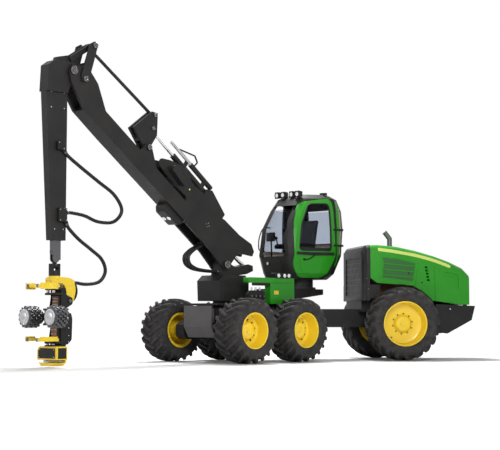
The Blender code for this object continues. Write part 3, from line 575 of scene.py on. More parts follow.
def bare_metal(name, colour, rough):
    tree, shader = new_finish(name, colour, rough, metal=1.0)
    marks = noise(tree, 60.0, 6)
    tint(tree, shader, marks, 0.3, 0.7, shade(colour, 0.8), shade(colour, 1.12))
    bump(tree, shader, marks, 0.15, 0.0005)


def clear(name, colour):
    tree, shader = new_finish(name, colour, 0.02)
    shader.inputs["Transmission Weight"].default_value = 1.0
    shader.inputs["IOR"].default_value = 1.12
    bump(tree, shader, noise(tree, 1.2, 1), 0.02, 0.002)


def ribbed(name, colour, rough, scale):
    """Lamp glass or reflector: fine prisms under gloss."""
    tree, shader = new_finish(name, colour, rough, coat=0.8)
    wave = pattern(tree, "Wave", "Fac", Scale=scale)
    tint(tree, shader, wave, 0.2, 0.8, shade(colour, 0.82), colour)
    bump(tree, shader, wave, 0.4, 0.002)


def mesh_plate(name, colour):
    """Perforated sheet: rows of small holes that are not cut, each a dark spot of painted shade with a slight
    dent.
    """
    tree, shader = new_finish(name, colour, 0.45)
    hole_shade_mask = pattern(tree, "Voronoi", "Distance", Scale=75.0, Randomness=0.0)
    # The dark spots at 0.15 of the colour are painted shade, standing for the dark seen through the holes
    tint(tree, shader, hole_shade_mask, 0.30, 0.42, shade(colour, 0.15), shade(colour, 1.3))
    bump(tree, shader, hole_shade_mask, 0.6, 0.003)


def fabric(name, colour):
    tree, shader = new_finish(name, colour, 0.9)
    bump(tree, shader, noise(tree, 500.0, 2), 0.5, 0.001)


def make_finishes(looks):
    painted("green", tuple(looks.green), rough=0.30, coat=0.2, dust=0.03)
    painted("yellow", tuple(looks.yellow), rough=0.36, coat=0.3, dust=0.06)
    painted("charcoal", tuple(looks.charcoal), rough=0.48, coat=0.05, dust=0.035, spread=0.14)
    painted("black", (0.007, 0.007, 0.0075), rough=0.50, coat=0.04, dust=0.03, spread=0.2)
    painted("grey", (0.075, 0.073, 0.078), rough=0.5, coat=0.05, dust=0.1, spread=0.1)
    painted("stripe", tuple(looks.stripe), rough=0.35, coat=0.4, dust=0.03)
    painted("beige", (0.70, 0.52, 0.38), rough=0.55, coat=0.0, dust=0.1)
    painted("brown", (0.22, 0.09, 0.04), rough=0.6, coat=0.0, dust=0.2)
    rubbery("rubber", tuple(looks.rubber))
    rubbery("hose", (0.010, 0.010, 0.011), rough=0.42, dust=0.03)
    rubbery("plastic", (0.010, 0.010, 0.011), rough=0.55, dust=0.03)
    bare_metal("steel", (0.55, 0.55, 0.57), 0.38)
    bare_metal("dark_steel", (0.13, 0.13, 0.135), 0.42)
    bare_metal("chrome", (0.82, 0.82, 0.83), 0.10)
    clear("glass", (0.60, 0.64, 0.70))
    ribbed("lens", (0.92, 0.93, 0.95), 0.12, 90.0)
    ribbed("amber", (0.95, 0.42, 0.03), 0.15, 120.0)
    # Grille: dark green sheet whose dark hole spots are painted shade
    mesh_plate("grille", (0.004, 0.085, 0.004))
    fabric("fabric", (0.05, 0.05, 0.055))


# Stage


class HARVESTER_OT_stage(bpy.types.Operator):
    """Pale floor, soft lamps and the camera of the photograph"""

    bl_idname = "harvester.stage"
    bl_label = "Stage"

    # The camera: place in the front half's frame, lens in mm, turn and rise in radians
    eye = (20.10, 20.65, 0.968)
    lens = 97.45
    turn = 0.799 - 0.0118
    rise = 0.0671
    # The floor: half its width, and how its glow rises to the sky's white between two distances
    reach = 60.0
    glow = {"From Min": 5.5, "From Max": 14.0, "To Min": 0.03, "To Max": 0.85}
    sky_light = 0.20
    # name, place, aim, size, watts
    table = (
        ("key", (7.0, 11.0, 7.0), (0, 0, 2.0), 5.0, 1150.0),
        ("fill", (12.0, -2.0, 5.0), (1, 0, 2.0), 6.0, 250.0),
        ("top", (-2.5, -3.0, 12.0), (0, 0, 0), 3.5, 2100.0),
        ("back", (-10.0, -8.0, 8.0), (0, 0, 2.5), 6.0, 250.0),
    )

    def execute(self, context):
        self.floor()
        self.sky(context.scene)
        self.lamps()
        self.camera(context.scene)
        context.scene.view_settings.view_transform = "Standard"
        return {"FINISHED"}

    def floor(self):
        mesh = bpy.data.meshes.new("floor")
        far = self.reach
        mesh.from_pydata([(-far, -far, 0), (far, -far, 0), (far, far, 0), (-far, far, 0)], [], [(0, 1, 2, 3)])
        floor = put("floor", mesh)
        floor.location.z = -0.002
        tree, shader = new_finish("floor", (0.80, 0.80, 0.80), 0.9)
        shader.inputs["Emission Color"].default_value = WHITE
        coords = node(tree, "ShaderNodeTexCoord").outputs["Object"]
        away = node(tree, "ShaderNodeVectorMath", {0: coords}, operation="LENGTH").outputs["Value"]
        glow = node(tree, "ShaderNodeMapRange", {"Value": away, **self.glow}).outputs["Result"]
        seen = node(tree, "ShaderNodeLightPath").outputs["Is Camera Ray"]
        tree.links.new(figure(tree, "MULTIPLY", seen, glow), shader.inputs["Emission Strength"])
        mesh.materials.append(FINISHES["floor"])

    def sky(self, scene):
        """White where it is seen, in gloss or through glass, and softer where it lights."""
        world = bpy.data.worlds.new("studio")
        scene.world = world
        world.use_nodes = True
        tree = world.node_tree
        tree.nodes.clear()
        rays = node(tree, "ShaderNodeLightPath").outputs
        seen = figure(tree, "MAXIMUM", rays["Is Camera Ray"], rays["Is Glossy Ray"])
        seen = figure(tree, "MAXIMUM", seen, rays["Is Transmission Ray"])
        light = node(tree, "ShaderNodeBackground", {"Color": WHITE, "Strength": self.sky_light})
        shown = node(tree, "ShaderNodeBackground", {"Color": WHITE, "Strength": 1.0})
        both = {"Fac": seen, 1: light.outputs["Background"], 2: shown.outputs["Background"]}
        mix = node(tree, "ShaderNodeMixShader", both)
        node(tree, "ShaderNodeOutputWorld", {"Surface": mix.outputs["Shader"]})

    def lamps(self):
        for name, place, aim, size, watts in self.table:
            data = bpy.data.lights.new(name, "AREA")
            data.shape = "DISK"
            data.size = size
            data.energy = watts
            lamp = put(name, data)
            lamp.location = place
            lamp.rotation_euler = (Vector(aim) - Vector(place)).to_track_quat("-Z", "Y").to_euler()

    def camera(self, scene):
        data = bpy.data.cameras.new("camera")
        data.lens = self.lens
        data.sensor_width = 36
        data.clip_end = 200
        camera = put("camera", data)
        camera.location = FRONT @ Vector(self.eye)
        flat = math.cos(self.rise)
        aim = Vector((-math.cos(self.turn) * flat, -math.sin(self.turn) * flat, math.sin(self.rise)))
        camera.rotation_euler = aim.to_track_quat("-Z", "Y").to_euler()
        scene.camera = camera


# Rigid pieces that keep the form of their solids

# finish, record slot, and the edge rounding of each node
PLAIN = (
    (
        "charcoal",
        "charcoal",
        {
            "front_frame": 0.006, "bogie_left": 0.012, "bogie_right": 0.012, "cab_turntable": 0.006,
            "crane_column": 0.008, "boom": 0.006, "lift_barrel": 0.004, "mid_rocker": 0.005,
            "long_rod": 0.003, "jib_barrel": 0.004, "knee_lever": 0.004, "knee_link": 0.004, "stick": 0.006,
            "roller_arm_left": 0.004, "roller_arm_right": 0.004,
        },
    ),
    ("grey", "grey", {"front_guard": 0.004}),
    ("black", "charcoal", {"rear_frame": 0.008}),
    ("brown", "brown", {"engine_block": 0.01}),
    ("dark_steel", "steel", {"exhaust_pipe": 0.004}),
    ("chrome", "chrome", {"lift_rod": 0.003, "jib_rod": 0.003}),
    ("dark_steel", "charcoal", {"extension": 0.004}),
    ("black", "black", {"tip_link": 0.003, "rotator": 0.004}),
    ("steel", "steel", {"saw_bar": 0.001}),
)


class HARVESTER_OT_rigid(bpy.types.Operator):
    """Frames, crane and head with their paint and rounded edges"""

    bl_idname = "harvester.rigid"
    bl_label = "Rigid pieces"

    def execute(self, context):
        for finish, slot, edges in PLAIN:
            for name, edge in edges.items():
                dress(name, finish, edge, slot)
        return {"FINISHED"}


# Wheels

Wheel = namedtuple("Wheel", "radius width rim_radius hub_radius")
FRONT_WHEEL = Wheel(0.67, 0.66, 0.372, 0.185)
REAR_WHEEL = Wheel(0.80, 0.66, 0.49, 0.185)

# name, wheel, side, frame of its half
WHEELS = [
    (spot + "_" + name, wheel, side, half)
    for spot, wheel, half in (
        ("front", FRONT_WHEEL, FRONT), ("middle", FRONT_WHEEL, FRONT), ("rear", REAR_WHEEL, REAR)
    )
    for name, side in SIDES
]
# The tread's bar, from its middle over the shoulder: share of the half width, degrees back, how far its foot
# lies below the tread's base and its top below the tyre's radius, and half of its width
LUG_PATH = (
    (-0.04, 0.0, 0.006, 0.006, 0.022),
    (0.06, 1.2, 0.006, 0.0, 0.027),
    (0.30, 5.6, 0.008, 0.0, 0.030),
    (0.55, 10.4, 0.012, 0.006, 0.032),
    (0.76, 14.4, 0.022, 0.018, 0.034),
    (0.90, 17.0, 0.042, 0.038, 0.036),
    (0.970, 18.2, 0.075, 0.066, 0.036),
)
LUG_END = (0.990, 18.6, 0.105, 0.070, 0.032)
# The bar's section: how far its sides lie out at the foot, the edge of the top and the top
LUG_SIDES = (1.30, 0.86, 0.74)
LUG_EDGE = 0.004


def wheel_frame(name, side, half):
    """Z along the axle, pointing out of the machine, at the wheel's middle."""
    low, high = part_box("tyre_" + name)
    out = Matrix(((1, 0, 0, 0), (0, 0, side, 0), (0, -side, 0, 0), (0, 0, 0, 1)))
    return Matrix.Translation((low + high) / 2) @ half.to_3x3().to_4x4() @ out


def lug(wheel, height, way):
    """One bar of the tread, from the middle of the tread down over its shoulder."""
    base = wheel.radius - height
    rows = [(share, turn, base - foot, wheel.radius - top, wide) for share, turn, foot, top, wide in LUG_PATH]
    share, turn, foot, top, wide = LUG_END
    rows.append((share, turn, base - foot, base - top, wide))
    work = Work()
    rings = []
    for share, turn, foot, top, wide in rows:
        near = list(zip((foot, top - LUG_EDGE, top), LUG_SIDES))
        ring = []
        for radius, spread in near + [(radius, -spread) for radius, spread in reversed(near)]:
            angle = way * (math.radians(turn) + spread * wide / radius)
            ring.append((radius * math.cos(angle), radius * math.sin(angle), share * wheel.width / 2))
        rings.append(ring)
    work.loft(rings)
    return work


class HARVESTER_OT_tyres(bpy.types.Operator):
    """Tyres with their lugs"""

    bl_idname = "harvester.tyres"
    bl_label = "Tyres"

    def execute(self, context):
        looks = context.scene.harvester
        treads = {
            (wheel, side): self.tread(wheel, looks, -side) for wheel in (
                FRONT_WHEEL, REAR_WHEEL
            ) for _, side in SIDES
        }
        for name, wheel, side, half in WHEELS:
            work = Work("rubber")
            work.turned(self.carcass(wheel, looks.lug_height), (0, 0, 0), (0, 0, 1), 120)
            for mesh in treads[wheel, side]:
                work.take(mesh)
            bmesh.ops.recalc_face_normals(work.mesh, faces=work.mesh.faces)
            tyre = "tyre_" + name
            frame_at = wheel_frame(name, side, half)
            work.finish(
                tyre + "_lugged", "wheel_" + name, frame_at, smooth=38, stands_for=(tyre,), slot="tyre"
            )
        return {"FINISHED"}

    def tread(self, wheel, looks, way):
        """The lugs of both sides, the far side half a pitch behind."""
        near = copies(lug(wheel, looks.lug_height, way), "rubber", looks.lug_count, 0.0)
        far = lug(wheel, looks.lug_height, way)
        bmesh.ops.scale(far.mesh, vec=(1, 1, -1), verts=far.mesh.verts)
        bmesh.ops.reverse_faces(far.mesh, faces=far.mesh.faces)
        return near, copies(far, "rubber", looks.lug_count, math.pi / looks.lug_count)

    def carcass(self, wheel, height):
        """Section of the tyre: bead, sidewall with its ribs, shoulder and tread base."""
        half = wheel.width / 2
        rim = wheel.rim_radius
        base = wheel.radius - height
        wall = base - rim
        side = [(rim, 0.80), (rim + 0.012, 0.87), (rim + 0.030, 0.91), (rim + 0.036, 0.905)]
        side += [
            (rim + 0.060, 0.945), (rim + 0.068, 0.940), (rim + 0.45 * wall, 0.990), (rim + 0.50 * wall, 0.998)
        ]
        side += [(rim + 0.56 * wall, 0.992), (rim + 0.75 * wall, 0.975), (base - 0.050, 0.925)]
        side += [(base - 0.022, 0.80), (base - 0.008, 0.55), (base - 0.002, 0.20)]
        side = [(radius, share * half) for radius, share in side]
        return side + [(radius, -across) for radius, across in reversed(side)]


class HARVESTER_OT_rims(bpy.types.Operator):
    """Yellow rims with hubs and nuts"""

    bl_idname = "harvester.rims"
    bl_label = "Rims"

    fit = 0.0003
    half = 0.2772
    disc = 0.0172
    nut_count = 10

    def execute(self, context):
        for name, wheel, side, half in WHEELS:
            rim, body, at = "rim_" + name, "wheel_" + name, wheel_frame(name, side, half)
            work = Work("yellow")
            work.turned(self.section(wheel), (0, 0, 0), (0, 0, 1), 96)
            bmesh.ops.recalc_face_normals(work.mesh, faces=work.mesh.faces)
            work.finish(rim + "_turned", body, at, smooth=32, stands_for=(rim,), slot="yellow")
            nuts = Work("dark_steel")
            nuts.take(self.nuts(wheel))
            nuts.rod((0.055, 0.02, 0.096), (0.055, 0.02, 0.104), 0.008, 12)
            valve = wheel.rim_radius * 0.79
            x, y = valve * 0.64, side * valve * 0.77
            nuts.rod((x, y, 0.015), (x, y, 0.024), 0.020, 20)
            nuts.finish(rim + "_nuts", body, at, edge=0.001, slot="charcoal")
        return {"FINISHED"}

    def section(self, wheel):
        """Outline of the rim: inner flange, drop, outer flange, dished disc and hub."""
        seat = wheel.rim_radius - self.fit
        half, disc, hub = self.half, self.disc, wheel.hub_radius
        inner = ((0.06, 0.02), (0.03, 0), (0, 0), (0, 0.04), (0.016, 0.07))
        outer = ((0.016, -0.07), (0, -0.04), (0, -0.002), (0.006, 0.006), (0.022, 0.008), (0.030, 0.003))
        outer += ((0.034, -0.010), (0.044, -0.045), (0.046, -0.10), (0.052, -0.12))
        dish = ((0.054, 0.05), (0.066, 0.014), (0.090, 0))
        boss = ((0.055, 0), (0.020, 0.004), (-0.015, 0.058), (-0.028, 0.074), (-0.045, 0.080))
        return [
            (0, disc - 0.27),
            (hub, disc - 0.27),
            (hub, disc - 0.03),
            (seat - 0.06, disc - 0.03),
            *[(seat - down, -half + out) for down, out in inner],
            *[(seat - down, half + out) for down, out in outer],
            *[(seat - down, disc + out) for down, out in dish],
            *[(hub + up, disc + out) for up, out in boss],
            (0.060, disc + 0.080),
            (0.052, disc + 0.074),
            (0, disc + 0.074),
        ]

    def nuts(self, wheel):
        """Studs and nuts in a ring round the hub."""
        nut = Work()
        ring = wheel.hub_radius + 0.036
        nut.rod((ring, 0, self.disc), (ring, 0, 0.032), 0.019, 6)
        nut.rod((ring, 0, 0.031), (ring, 0, 0.042), 0.010, 10)
        return copies(nut, "dark_steel", self.nut_count, 0.2)


# Hoses that hang free


def smooth_route(points, step):
    """Points at even steps along a smooth curve through the given ones."""
    points = [Vector(p) for p in points]
    padded = [points[0] * 2 - points[1], *points, points[-1] * 2 - points[-2]]
    dense = []
    for p0, p1, p2, p3 in zip(padded, padded[1:], padded[2:], padded[3:]):
        for k in range(16):
            t = k / 16
            bend = (p0 * 2 - p1 * 5 + p2 * 4 - p3) * t * t + (p1 * 3 - p0 - p2 * 3 + p3) * t**3
            dense.append((p1 * 2 + (p2 - p0) * t + bend) / 2)
    dense.append(points[-1])
    runs = run_of(dense)
    count = round(runs[-1] / step)
    out = []
    k = 0
    for i in range(count + 1):
        want = runs[-1] * i / count
        while k < len(runs) - 2 and runs[k + 1] < want:
            k += 1
        out.append(dense[k].lerp(dense[k + 1], min((want - runs[k]) / (runs[k + 1] - runs[k]), 1.0)))
    return out


def leave(place, direction, far):
    """A point straight out of a gland."""
    return Vector(place) + Vector(direction).normalized() * far


GAP = 0.0003
LEAD = 0.14
STICK_TOP = ((4.60, 0.113, 4.09), (-0.69, 0, -0.72))
STICK_BACK = ((4.545, 0.108, 2.92), (-1, 0, 0))
STICK_DOWN = ((4.55, 0.113, 2.73), (-0.55, 0, -0.83))
YOKE_END = (4.365, 0, 1.60)
FOOT_Y = {"left": 0.075, "mid": 0.0, "right": -0.075}
FOOT_ROUTE = (
    (0.93, 2.50),
    (1.03, 2.42),
    (1.22, 2.33),
    (1.37, 2.20),
    (1.35, 2.05),
    (1.20, 1.96),
    (1.00, 1.92),
    (0.70, 1.90),
    (0.535, 1.90),
)
STICK_ROUTE = (
    leave(*STICK_TOP, GAP),
    leave(*STICK_TOP, LEAD),
    (4.20, 0.15, 3.78),
    (3.81, 0.16, 3.55),
    (3.42, 0.16, 3.32),
    (3.23, 0.16, 3.03),
    (3.42, 0.15, 2.80),
    (3.80, 0.14, 2.78),
    (4.12, 0.125, 2.88),
    leave(*STICK_BACK, LEAD),
    leave(*STICK_BACK, GAP),
)
HEAD_ROUTE = (
    leave(*STICK_DOWN, GAP),
    leave(*STICK_DOWN, LEAD),
    (4.26, 0.14, 2.42),
    (3.97, 0.14, 2.24),
    (3.70, 0.13, 2.06),
    (3.59, 0.11, 1.83),
    (3.70, 0.07, 1.63),
    (3.98, 0.03, 1.575),
    (YOKE_END[0] - LEAD, *YOKE_END[1:]),
    YOKE_END,
)

# name, body at its start, body at its end, diameter, points of its route
HOSES = [
    ("hose_stick", "stick", "stick", 0.07, STICK_ROUTE), ("hose_head", "stick", "extension", 0.07, HEAD_ROUTE)
]
HOSES += [
    (
        "hose_foot_" + name, "boom", "crane_column", 0.06, [(x, y, z) for x, z in FOOT_ROUTE]
    ) for name, y in FOOT_Y.items()
]


class HARVESTER_OT_hoses(bpy.types.Operator):
    """Sleeved hydraulic hoses of the crane"""

    bl_idname = "harvester.hoses"
    bl_label = "Hoses"

    # The wound sleeve: how much its turns rise, rings to a turn and the step between rings
    wound = 0.035
    turn = 4
    step = 0.011

    def execute(self, context):
        for name, first, last, diameter, points in HOSES:
            route = [FRONT @ p for p in smooth_route(points, diameter * 0.5)]
            hose = self.sleeve(name + "_sleeve", first if first == last else None, route, diameter / 2)
            if first != last:
                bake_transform(hose, first, last, tuple(route[0]), tuple(route[-1]))
            tuple(route[0])
            run_of(route)[-1]
            [tuple(p) for p in route]
            wide = diameter * 0.57
            ring = [(diameter * 0.5, 0.004), (wide, 0.010), (wide, 0.05), (diameter * 0.5, 0.056)]
            for end, body, start, ahead in (("start", first, *route[:2]), ("end", last, *route[:-3:-1])):
                clamp = Work("dark_steel")
                clamp.turned(ring, start, ahead - start, 24)
                clamp.finish(name + "_" + end, body, None, edge=0.001, slot="charcoal")
        return {"FINISHED"}

    def sleeve(self, name, body, route, radius):
        """A tube whose surface rises in the turns of its wound sleeve."""

        def size(i, a):
            return radius * (1 - self.wound * (0.5 + 0.5 * math.cos(a - 2 * math.pi * i / self.turn)))

        work = Work("hose")
        work.tube(smooth_route(route, self.step), size, 20)
        return work.finish(name, body, None, smooth=50, slot="black")


# Housings made by lofts and cuts


def form(finish, shape, *values):
    """A loose solid made by one shape of a work."""
    work = Work(finish)
    getattr(work, shape)(*values)
    return put("form", work.poured("form"))


def combine(target, operation, *others):
    """The target after each of the others is cut from it, joined to it or kept from it."""
    for other in others:
        step = target.modifiers.new("step", "BOOLEAN")
        step.operation = operation
        step.solver = "EXACT"
        step.object = other
        mesh = made_mesh(target)
        target.modifiers.clear()
        target.data = mesh
        bpy.data.objects.remove(other)
    return target


def place(target, name, body, base, **looks):
    """A loose solid as a finished piece."""
    target.name = name
    target.data.transform(base)
    settle(target, body, **looks)


def hood_section(x, half, top, low, corner):
    """Outline of the hood across the machine, from the left low edge over the top."""
    out = [(x, half, low), (x, half, top - corner)]
    for i in range(1, 6):
        a = math.pi / 2 * i / 6
        out.append((x, half - corner + corner * math.cos(a), top - corner + corner * math.sin(a)))
    out.append((x, half - corner, top))
    return out + [(p[0], -p[1], p[2]) for p in reversed(out)]


# x, half width, top, low edge, corner radius
HOOD = (
    (-1.431, 0.945, 2.525, 1.79, 0.15),
    (-1.60, 0.95, 2.53, 1.69, 0.15),
    (-2.05, 0.95, 2.49, 1.66, 0.15),
    (-2.50, 0.945, 2.40, 1.62, 0.15),
    (-2.90, 0.93, 2.29, 1.60, 0.14),
    (-3.25, 0.91, 2.17, 1.55, 0.13),
    (-3.56, 0.88, 2.03, 1.50, 0.12),
    (-3.72, 0.85, 1.88, 1.40, 0.12),
)
# What is cut away below the hood, as x and z
HOOD_LOW = (
    (-1.2, 1.97),
    (-1.43, 1.80),
    (-1.58, 1.69),
    (-2.39, 1.63),
    (-2.60, 1.52),
    (-2.80, 1.36),
    (-2.90, 1.24),
    (-3.9, 1.21),
    (-3.9, 0.8),
    (-1.2, 0.8),
)
# Outline and depth of the recesses in its sides
SUNK = (
    ([(-1.70, 1.80), (-1.70, 2.25), (-2.05, 2.22), (-2.46, 2.13), (-2.40, 1.72), (-2.05, 1.76)], 0.014),
    ([(-2.53, 2.18), (-2.55, 2.18), (-2.44, 1.62), (-2.42, 1.62)], 0.012),
    ([(-2.895, 2.06), (-2.905, 2.06), (-2.905, 1.20), (-2.895, 1.20)], 0.012),
    ([(-3.13, 1.94), (-3.45, 1.87), (-3.47, 1.58), (-3.37, 1.60), (-3.35, 1.80), (-3.14, 1.85)], 0.018),
)
SLOTS = [(-2.67 - 0.012 * i, 2.02 - 0.07 * i) for i in range(5)]
BARS = (((-1.74, 2.10), (-2.44, 2.045)), ((-1.72, 1.975), (-2.42, 1.92)), ((-1.72, 1.85), (-2.40, 1.80)))
# x, half width, top, corner radius
COWL = (
    (-1.425, 0.945, 2.525, 0.15),
    (-1.36, 0.94, 2.515, 0.16),
    (-1.31, 0.90, 2.47, 0.18),
    (-1.28, 0.82, 2.38, 0.20),
)


def hood_half(x):
    """Half width of the hood at a place along it."""
    for (x0, half0, *_), (x1, half1, *_) in zip(HOOD, HOOD[1:]):
        if x1 <= x <= x0:
            return half0 + (half1 - half0) * (x0 - x) / (x0 - x1)
    return HOOD[-1][1]


def on_side(work, outline, low, high, side):
    """A plate that follows the hood's side between two depths, outwards from its surface."""
    work.shell(*([(x, side * (hood_half(x) + depth), z) for x, z in outline] for depth in (low, high)))


# z, nose, door front, tail, half width, at the tail, at the nose, at the door's front
CAB = (
    (1.77, -1.26, -1.50, -2.42, 0.60, 0.46, 0.24, 0.44),
    (1.90, -1.20, -1.40, -2.56, 0.72, 0.54, 0.26, 0.50),
    (2.30, -1.08, -1.30, -2.74, 0.78, 0.60, 0.28, 0.54),
    (2.90, -1.20, -1.40, -2.80, 0.78, 0.60, 0.28, 0.54),
    (3.30, -1.44, -1.62, -2.78, 0.76, 0.57, 0.26, 0.50),
    (3.56, -1.64, -1.82, -2.70, 0.70, 0.50, 0.24, 0.45),
    (3.66, -1.86, -2.00, -2.55, 0.54, 0.40, 0.20, 0.36),
)
CAB_ROOF_INSIDE = (3.61, -1.90, -2.02, -2.52, 0.52, 0.38, 0.20, 0.34)
WALL = 0.05


def cab_ring(row, depth=0.0):
    """Outline of the cab seen from above at one height, drawn in by a depth."""
    z, nose, mid, tail, half, tail_half, nose_half, mid_half = row
    slope = depth * 0.7
    line = [
        (nose - depth, nose_half - slope),
        (nose - depth - 0.08, nose_half + 0.12 - slope),
        (mid - slope, mid_half - slope),
        ((mid + tail) / 2, half - 0.04 - depth),
        (tail + 0.30, half - depth),
        (tail + 0.05 + slope, tail_half + 0.06 - slope),
        (tail + depth, tail_half - slope),
    ]
    return [(x, y, z) for x, y in line] + [(x, -y, z) for x, y in reversed(line)]


def cab_form(finish, rows=CAB, depth=0.0):
    return form(finish, "loft", [cab_ring(row, depth) for row in rows])


DOOR = [
    (-1.44, 1.79), (-1.29, 2.10), (-1.33, 2.90), (-1.60, 3.48), (-2.34, 3.60), (-2.40, 2.26), (-2.12, 1.79)
]
DOOR = rounded(DOOR, 0.16)
DOOR_MID = (-1.85, 2.7)
DOOR_GLASS = rounded([(-1.42, 2.39), (-1.50, 2.95), (-1.78, 3.44), (-2.25, 3.46), (-2.27, 2.39)], 0.10)
DOOR_GLASS_MID = (-1.9, 2.85)
WINDSCREEN = [(-0.45, 2.26), (-0.45, 3.40), (-1.58, 3.40), (-1.36, 3.05), (-1.22, 2.70), (-1.21, 2.26)]
# x, y, 1 for a lamp that looks ahead
ROOF_LAMPS = [(-1.66, -0.30, 1), (-1.66, -0.12, 1), (-1.68, 0.12, 1), (-1.68, 0.30, 1)]
ROOF_LAMPS += [(-2.48, 0.34, -1), (-2.48, -0.34, -1)]
REAR_WHEEL_MIDDLE = (
    Vector(JOINTS["wheel_rear_left"]["pos_m"]) + Vector(JOINTS["wheel_rear_right"]["pos_m"])
) / 2
ARCH_RADIUS = 0.86
PAST = 1.2


class HARVESTER_OT_housings(bpy.types.Operator):
    """Hood, cowl and cab"""

    bl_idname = "harvester.housings"
    bl_label = "Hood and cab"

    def execute(self, context):
        self.hood()
        self.cowl()
        self.cab()
        self.door()
        return {"FINISHED"}

    def hood(self):
        outer = form("green", "loft", [hood_section(x, h, t, low - 0.3, c) for x, h, t, low, c in HOOD])
        rows = [(HOOD[0][0] + 0.1, *HOOD[0][1:]), *HOOD[1:-1], (-3.705, *HOOD[-1][1:])]
        rows = [hood_section(x, h - 0.025, t - 0.025, low - 0.5, c - 0.02) for x, h, t, low, c in rows]
        hub = REAR.inverted() @ REAR_WHEEL_MIDDLE
        combine(
            outer,
            "DIFFERENCE",
            form("black", "loft", rows),
            form("green", "prism", HOOD_LOW, -PAST, PAST),
            form("green", "rod", (hub.x, -PAST, hub.z), (hub.x, PAST, hub.z), ARCH_RADIUS, 48),
        )
        bars = Work("green")
        for _, side in SIDES:
            for outline, depth in SUNK:
                cut = Work("green")
                on_side(cut, outline, -depth, 0.05, side)
                combine(outer, "DIFFERENCE", put("form", cut.poured("form")))
            slots = Work("black")
            for x, z in SLOTS:
                on_side(
                    slots,
                    [(x, z), (x - 0.06, z - 0.008), (x - 0.06, z + 0.03), (x, z + 0.038)],
                    -0.1,
                    0.05,
                    side,
                )
            combine(outer, "DIFFERENCE", put("form", slots.poured("form")))
            for (x0, z0), (x1, z1) in BARS:
                on_side(bars, [(x0, z0), (x1, z1), (x1, z1 + 0.022), (x0, z0 + 0.022)], -0.02, 0.004, side)
        place(outer, "hood_shell", "hood", REAR, edge=0.006, smooth=30, stands_for=("hood",), slot="green")
        bars.finish("hood_bars", "hood", REAR, edge=0.003, slot="green")

    def cowl(self):
        shell = form("black", "loft", [hood_section(x, h, t, 1.30, c) for x, h, t, c in COWL])
        combine(shell, "DIFFERENCE", form("black", "block", -1.32, -1.2, -0.62, 0.62, 1.42, 2.24))
        place(shell, "radiator_cowl", "rear_half", REAR, edge=0.008, slot="black")
        slats = Work("black")
        for i in range(6):
            z = 1.50 + 0.12 * i
            slats.prism(
                [(-1.325, z), (-1.318, z - 0.008), (-1.285, z + 0.03), (-1.292, z + 0.038)], -0.625, 0.625
            )
        slats.finish("cowl_slats", "rear_half", REAR, edge=0.002, slot="black")

    def cab(self):
        """The cab's shell with its openings, the roof's lamp housings and the fixed panes."""
        shell = combine(
            cab_form("black"),
            "DIFFERENCE",
            cab_form("black", (*CAB[1:-1], CAB_ROOF_INSIDE), WALL),
            form("black", "prism", DOOR, 0.30, 1.0),
            form("black", "prism", DOOR_GLASS, -1.0, -0.30),
            form("black", "prism", WINDSCREEN, -0.70, 0.70),
            form("black", "block", -2.95, -2.60, -0.40, 0.40, 2.60, 3.35),
        )
        place(shell, "cab_body", "cab", FRONT, edge=0.007, smooth=40, stands_for=("cab_shell",), slot="black")
        lamps = Work("plastic")
        for x, y, ahead in ROOF_LAMPS:
            rings = []
            for back, half, low, high in ((-0.09, 0.05, 3.60, 3.72), (0.04, 0.065, 3.58, 3.73)):
                corners = ((-half, low), (half, low), (half, high), (-half, high))
                rings.append([(x + ahead * back, y + across, z) for across, z in corners])
            lamps.loft(rings)
        lamps.finish("roof_lamps", "cab", edge=0.008, slot="black")
        between = [row for row in CAB if 2.2 < row[0] < 3.57]
        hollow = [(2.2, *between[0][1:]), *between[1:-1], (3.7, *between[-1][1:])]
        panes = combine(
            cab_form("glass", between, WALL + GAP),
            "DIFFERENCE",
            cab_form("glass", hollow, WALL + 0.012),
            form("glass", "prism", scaled(DOOR, 1.02, DOOR_MID), 0.05, 1.0),
            form("glass", "block", -3.0, -0.5, -1.0, 1.0, 3.32, 4.0),
        )
        place(panes, "cab_panes", "cab", FRONT, smooth=40, stands_for=("cab_glass",), slot="glass")

    def door(self):
        """The door's leaf and its pane, both cut from the cab's own surface."""
        leaf = combine(
            cab_form("green"), "INTERSECT", form("green", "prism", scaled(DOOR, 0.985, DOOR_MID), 0.35, 1.0)
        )
        combine(
            leaf, "DIFFERENCE", cab_form("black", CAB, WALL), form("black", "prism", DOOR_GLASS, 0.3, 1.0)
        )
        place(
            leaf,
            "door_leaf",
            "cab_door",
            FRONT,
            edge=0.006,
            smooth=40,
            stands_for=("cab_door",),
            slot="green",
        )
        glass = form("glass", "prism", scaled(DOOR_GLASS, 0.998, DOOR_GLASS_MID), 0.35, 1.0)
        pane = combine(cab_form("glass", CAB, 0.015), "INTERSECT", glass)
        combine(pane, "DIFFERENCE", cab_form("glass", CAB, 0.023))
        place(pane, "door_pane", "cab_door", FRONT, smooth=40, stands_for=("door_glass",), slot="glass")


# Hood, cowl and tail

STRIPE = [
    (-1.60, 2.422),
    (-1.87, 2.392),
    (-2.12, 2.354),
    (-2.43, 2.301),
    (-2.77, 2.220),
    (-3.02, 2.143),
    (-3.27, 2.052),
]
STRIPE_HALF = 0.036
# Share of the stripe's length and of its width there, at its rounded ends
STRIPE_ENDS = ((0.0, 0.30), (0.006, 0.75), (0.016, 1.0), (0.984, 1.0), (0.994, 0.75), (1.0, 0.30))
GRILLE_TOP = ((-1.715, 2.235), (-2.05, 2.205), (-2.448, 2.118))
GRILLE_LOW = ((-1.715, 1.812), (-2.05, 1.772), (-2.388, 1.732))
BAR_HIGH = 0.026


